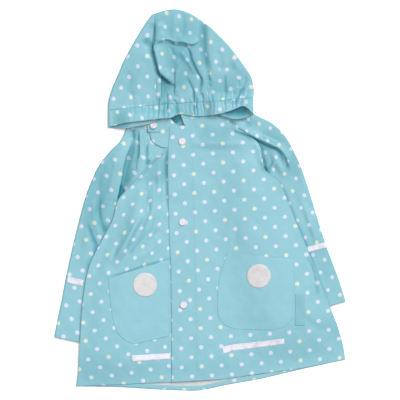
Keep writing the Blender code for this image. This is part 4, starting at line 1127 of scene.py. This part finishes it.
# what is sewn on: its rows and the surface of its own face, or of the cloth under it
POCKETS = {
    "pocket_right": (POCKET_RIGHT, pocket_top(right_top, POCKET_RIGHT)),
    "pocket_left": (POCKET_LEFT, pocket_top(left_top, POCKET_LEFT)),
}
TAPES = {
    "tape_sleeve_right": (SLEEVE_TAPE_RIGHT, sleeve_top("sleeve_right")),
    "tape_sleeve_left": (SLEEVE_TAPE_LEFT, sleeve_top("sleeve_left")),
    "tape_hem_right": (HEM_TAPE_RIGHT, right_top),
    "tape_hem_left": (HEM_TAPE_LEFT, left_top),
}


def body_and_sleeves(dotted, inside):
    sides = {"radius": BODY_ROLL, "rolled": rolls(ROLLS_BACK, True), "place": to_hem(BACK[-1], BACK_HEM)}
    cloth_piece("back", layer(BACK, back_lift, 4.6, look=-1, **sides), [dotted, inside], look=-1)
    hem_band([dotted])
    sides = {"radius": BODY_ROLL, "rolled": rolls(ROLLS_RIGHT)}
    front = layer(FRONT_RIGHT, right_top, 2, dots="front_right", **sides)
    cloth_piece("front_right", front, [dotted, inside], shades="front_right")
    facing = layer(NECK_FACING, over(right_top, FACING_RISE), 1.3, dots="facing")
    cloth_piece("neck_facing", facing, [dotted, inside])
    sides = {"radius": BODY_ROLL, "rolled": rolls(ROLLS_LEFT), "place": to_hem(FRONT_LEFT[-1], LEFT_HEM)}
    drops = {"edge": (EDGE_DROP, 0.5), "ends": (0.7, 0.7)}
    front = layer(FRONT_LEFT, left_top, 2.3, dots="front_left", **drops, **sides)
    cloth_piece("front_left", front, [dotted, inside], shades="front_left")
    drops = {"edge": (1.3, 0.25), "ends": (1, 0.9)}
    flap = layer(FLAP, flap_top, 2, straight=True, dots="front_left", **drops)
    cloth_piece("front_flap", flap, [dotted], shell=FOLDED, shades="front_left")
    sleeve("sleeve_right", SLEEVE_RIGHT, [dotted, inside])
    sleeve("sleeve_left", SLEEVE_LEFT, [dotted, inside])


def hood(dotted, plain):
    for name, seam, table in (("hood_right", SEAM_RIGHT, HOOD_RIGHT), ("hood_left", SEAM_LEFT, HOOD_LEFT)):
        hood_panel(name, [(x, y, at_seam(seam, v), v) for x, y, v in table], [dotted, plain])
    hood_panel("hood_centre", centre_rows(), [dotted, plain])
    casing = strip_along(CASING_EDGE, casing_top, 1, 0.9, (2, 0.5))
    cloth_piece("hood_casing", casing, [dotted], shell=FOLDED, shades="hood")
    band = strip_along(NECKBAND_EDGE, band_bottom, -1, 1.3, (1.7, 0.3))
    cloth_piece("hood_neckband", band, [dotted, plain], look=-1, shades="neckband")


def sewn_on(dotted, plain):
    patch("neck_tab", NECK_TAB, right_top, TAB_RISE, [dotted], step=1.2)
    for name, (table, face) in POCKETS.items():
        cloth_piece(name, layer(table, face, 2.2, edge=(0.55, 0.55)), [plain])
    patch("label", LABEL, left_top, LABEL_RISE, [label_weave()])
    sheet = reflective("tape_sheet", (0.44, 0.435, 0.495), (0.565, 0.56, 0.61), 0.0009)
    for name, (table, under) in TAPES.items():
        patch(name, table, under, TAPE_RISE, [sheet], step=1.3)


def badges_and_snaps():
    sheet = reflective("badge_sheet", (0.41, 0.395, 0.40), (0.46, 0.445, 0.455), 0.0012)
    for name, centre in BADGES.items():
        _, face = POCKETS[name.replace("badge", "pocket")]
        turned_disc(name, centre, face, BADGE_PROFILE, sheet)
    plastic = cap_plastic()
    cap = [(SNAP_RADIUS * share, rise) for share, rise in CAP_PROFILE]
    lean = Matrix.Translation((0, 2.6, 0.5)) @ Matrix.Rotation(-0.45, 4, "X")
    turned_disc("snap_neck", NECK_SNAP, over(right_top, TAB_RISE), cap, plastic, lean)
    for name, centre in FLAP_SNAPS.items():
        turned_disc(name, centre, flap_top, cap, plastic)


def sew(thread):
    """The topstitching that shows, each row on the piece it is sewn through."""
    free, seam = beside(FLAP, FLAP_SEWN, low=3, straight=True), beside(FLAP, SEAM_SEWN, True, straight=True)
    stitches("stitches_flap", [free, seam], flap_top, thread)
    for name, (table, face) in POCKETS.items():
        fine = finely(table)
        corner = fine[-1:, :2] * 0.6 + fine[-1:, 2:4] * 0.4
        outline = np.vstack([beside(table, POCKET_SEWN), corner, beside(table, POCKET_SEWN, True)[::-1]])
        lowest = (np.arange(len(outline)) >= len(fine) - FINE) & (outline[:, 1] < table[-1][1] + 3)
        outline[:, 1] += np.where(lowest, POCKET_SEWN, 0)
        stitches("stitches_" + name, [outline], face, thread)
    x = np.linspace(-157, 90, 60)
    line = np.stack([x, casing_line(x) - CASING_SEWN], axis=1)
    stitches("stitches_casing", [line], casing_top, thread)
    facing = beside(NECK_FACING, EDGE_SEWN, low=2)
    stitches("stitches_facing", [facing], over(right_top, FACING_RISE), thread)
    stitches("stitches_front_right", [beside(FRONT_RIGHT, EDGE_SEWN, low=1, high=5)], right_top, thread)
    stitches("stitches_front_left", [beside(FRONT_LEFT, EDGE_SEWN, low=2, high=9)], left_top, thread)
    for name, (table, under) in TAPES.items():
        rows = finely(table)
        inward = (rows[:, 2:4] - rows[:, :2]) * 0.13
        edges = [rows[:, :2] + inward, rows[:, 2:4] - inward]
        stitches("stitches_" + name, edges, over(under, TAPE_RISE), thread)
    stitches("stitches_tab", [TAB_STITCHES], over(right_top, TAB_RISE), thread)


def floor():
    mesh = bmesh.new()
    bmesh.ops.create_grid(mesh, x_segments=1, y_segments=1, size=6)
    own = Finish("floor_paper", Roughness=0.9, Specular_IOR_Level=0.1)
    own.set(Base_Color=own.mixed(own.noise(3), (0.90, 0.90, 0.90), (0.92, 0.92, 0.92)))
    named("floor", mesh, [own.material])


def studio():
    """A camera straight above, a wide soft light from the upper right, and even light all round."""
    camera = bpy.data.cameras.new("camera")
    camera.sensor_width = SENSOR
    camera.lens = SENSOR * CAMERA_HEIGHT / VIEW_WIDTH
    camera.clip_end = 30
    seen = bpy.data.objects.new("camera", camera)
    seen.location = (0, 0, CAMERA_HEIGHT)
    bpy.context.scene.collection.objects.link(seen)
    bpy.context.scene.camera = seen
    above = bpy.data.lights.new("overhead", "AREA")
    above.size = 3.6
    above.energy = 140
    key = bpy.data.lights.new("key", "SUN")
    key.angle = 0.7
    key.energy = 3.4
    for light, place in ((above, (0, 0, 5)), (key, (1.3, 1.7, 2.2))):
        lamp = bpy.data.objects.new(light.name, light)
        lamp.location = place
        lamp.rotation_euler = (-Vector(place)).to_track_quat("-Z", "Y").to_euler()
        bpy.context.scene.collection.objects.link(lamp)
    world = bpy.data.worlds.new("studio")
    world.use_nodes = True
    sky = world.node_tree.nodes["Background"]
    sky.inputs["Color"].default_value = (1, 1, 1, 1)
    sky.inputs["Strength"].default_value = 0.32
    bpy.context.scene.world = world
    bpy.context.scene.view_settings.view_transform = "Standard"


def main():
    dotted = coated_cloth("dotted_cloth", AQUA, AQUA_DEEP, True)
    plain = coated_cloth("plain_cloth", PLAIN, PLAIN_DEEP, False)
    body_and_sleeves(dotted, inner_side())
    hood(dotted, plain)
    sewn_on(dotted, plain)
    badges_and_snaps()
    sew(sewing_thread())
    floor()
    studio()


main()
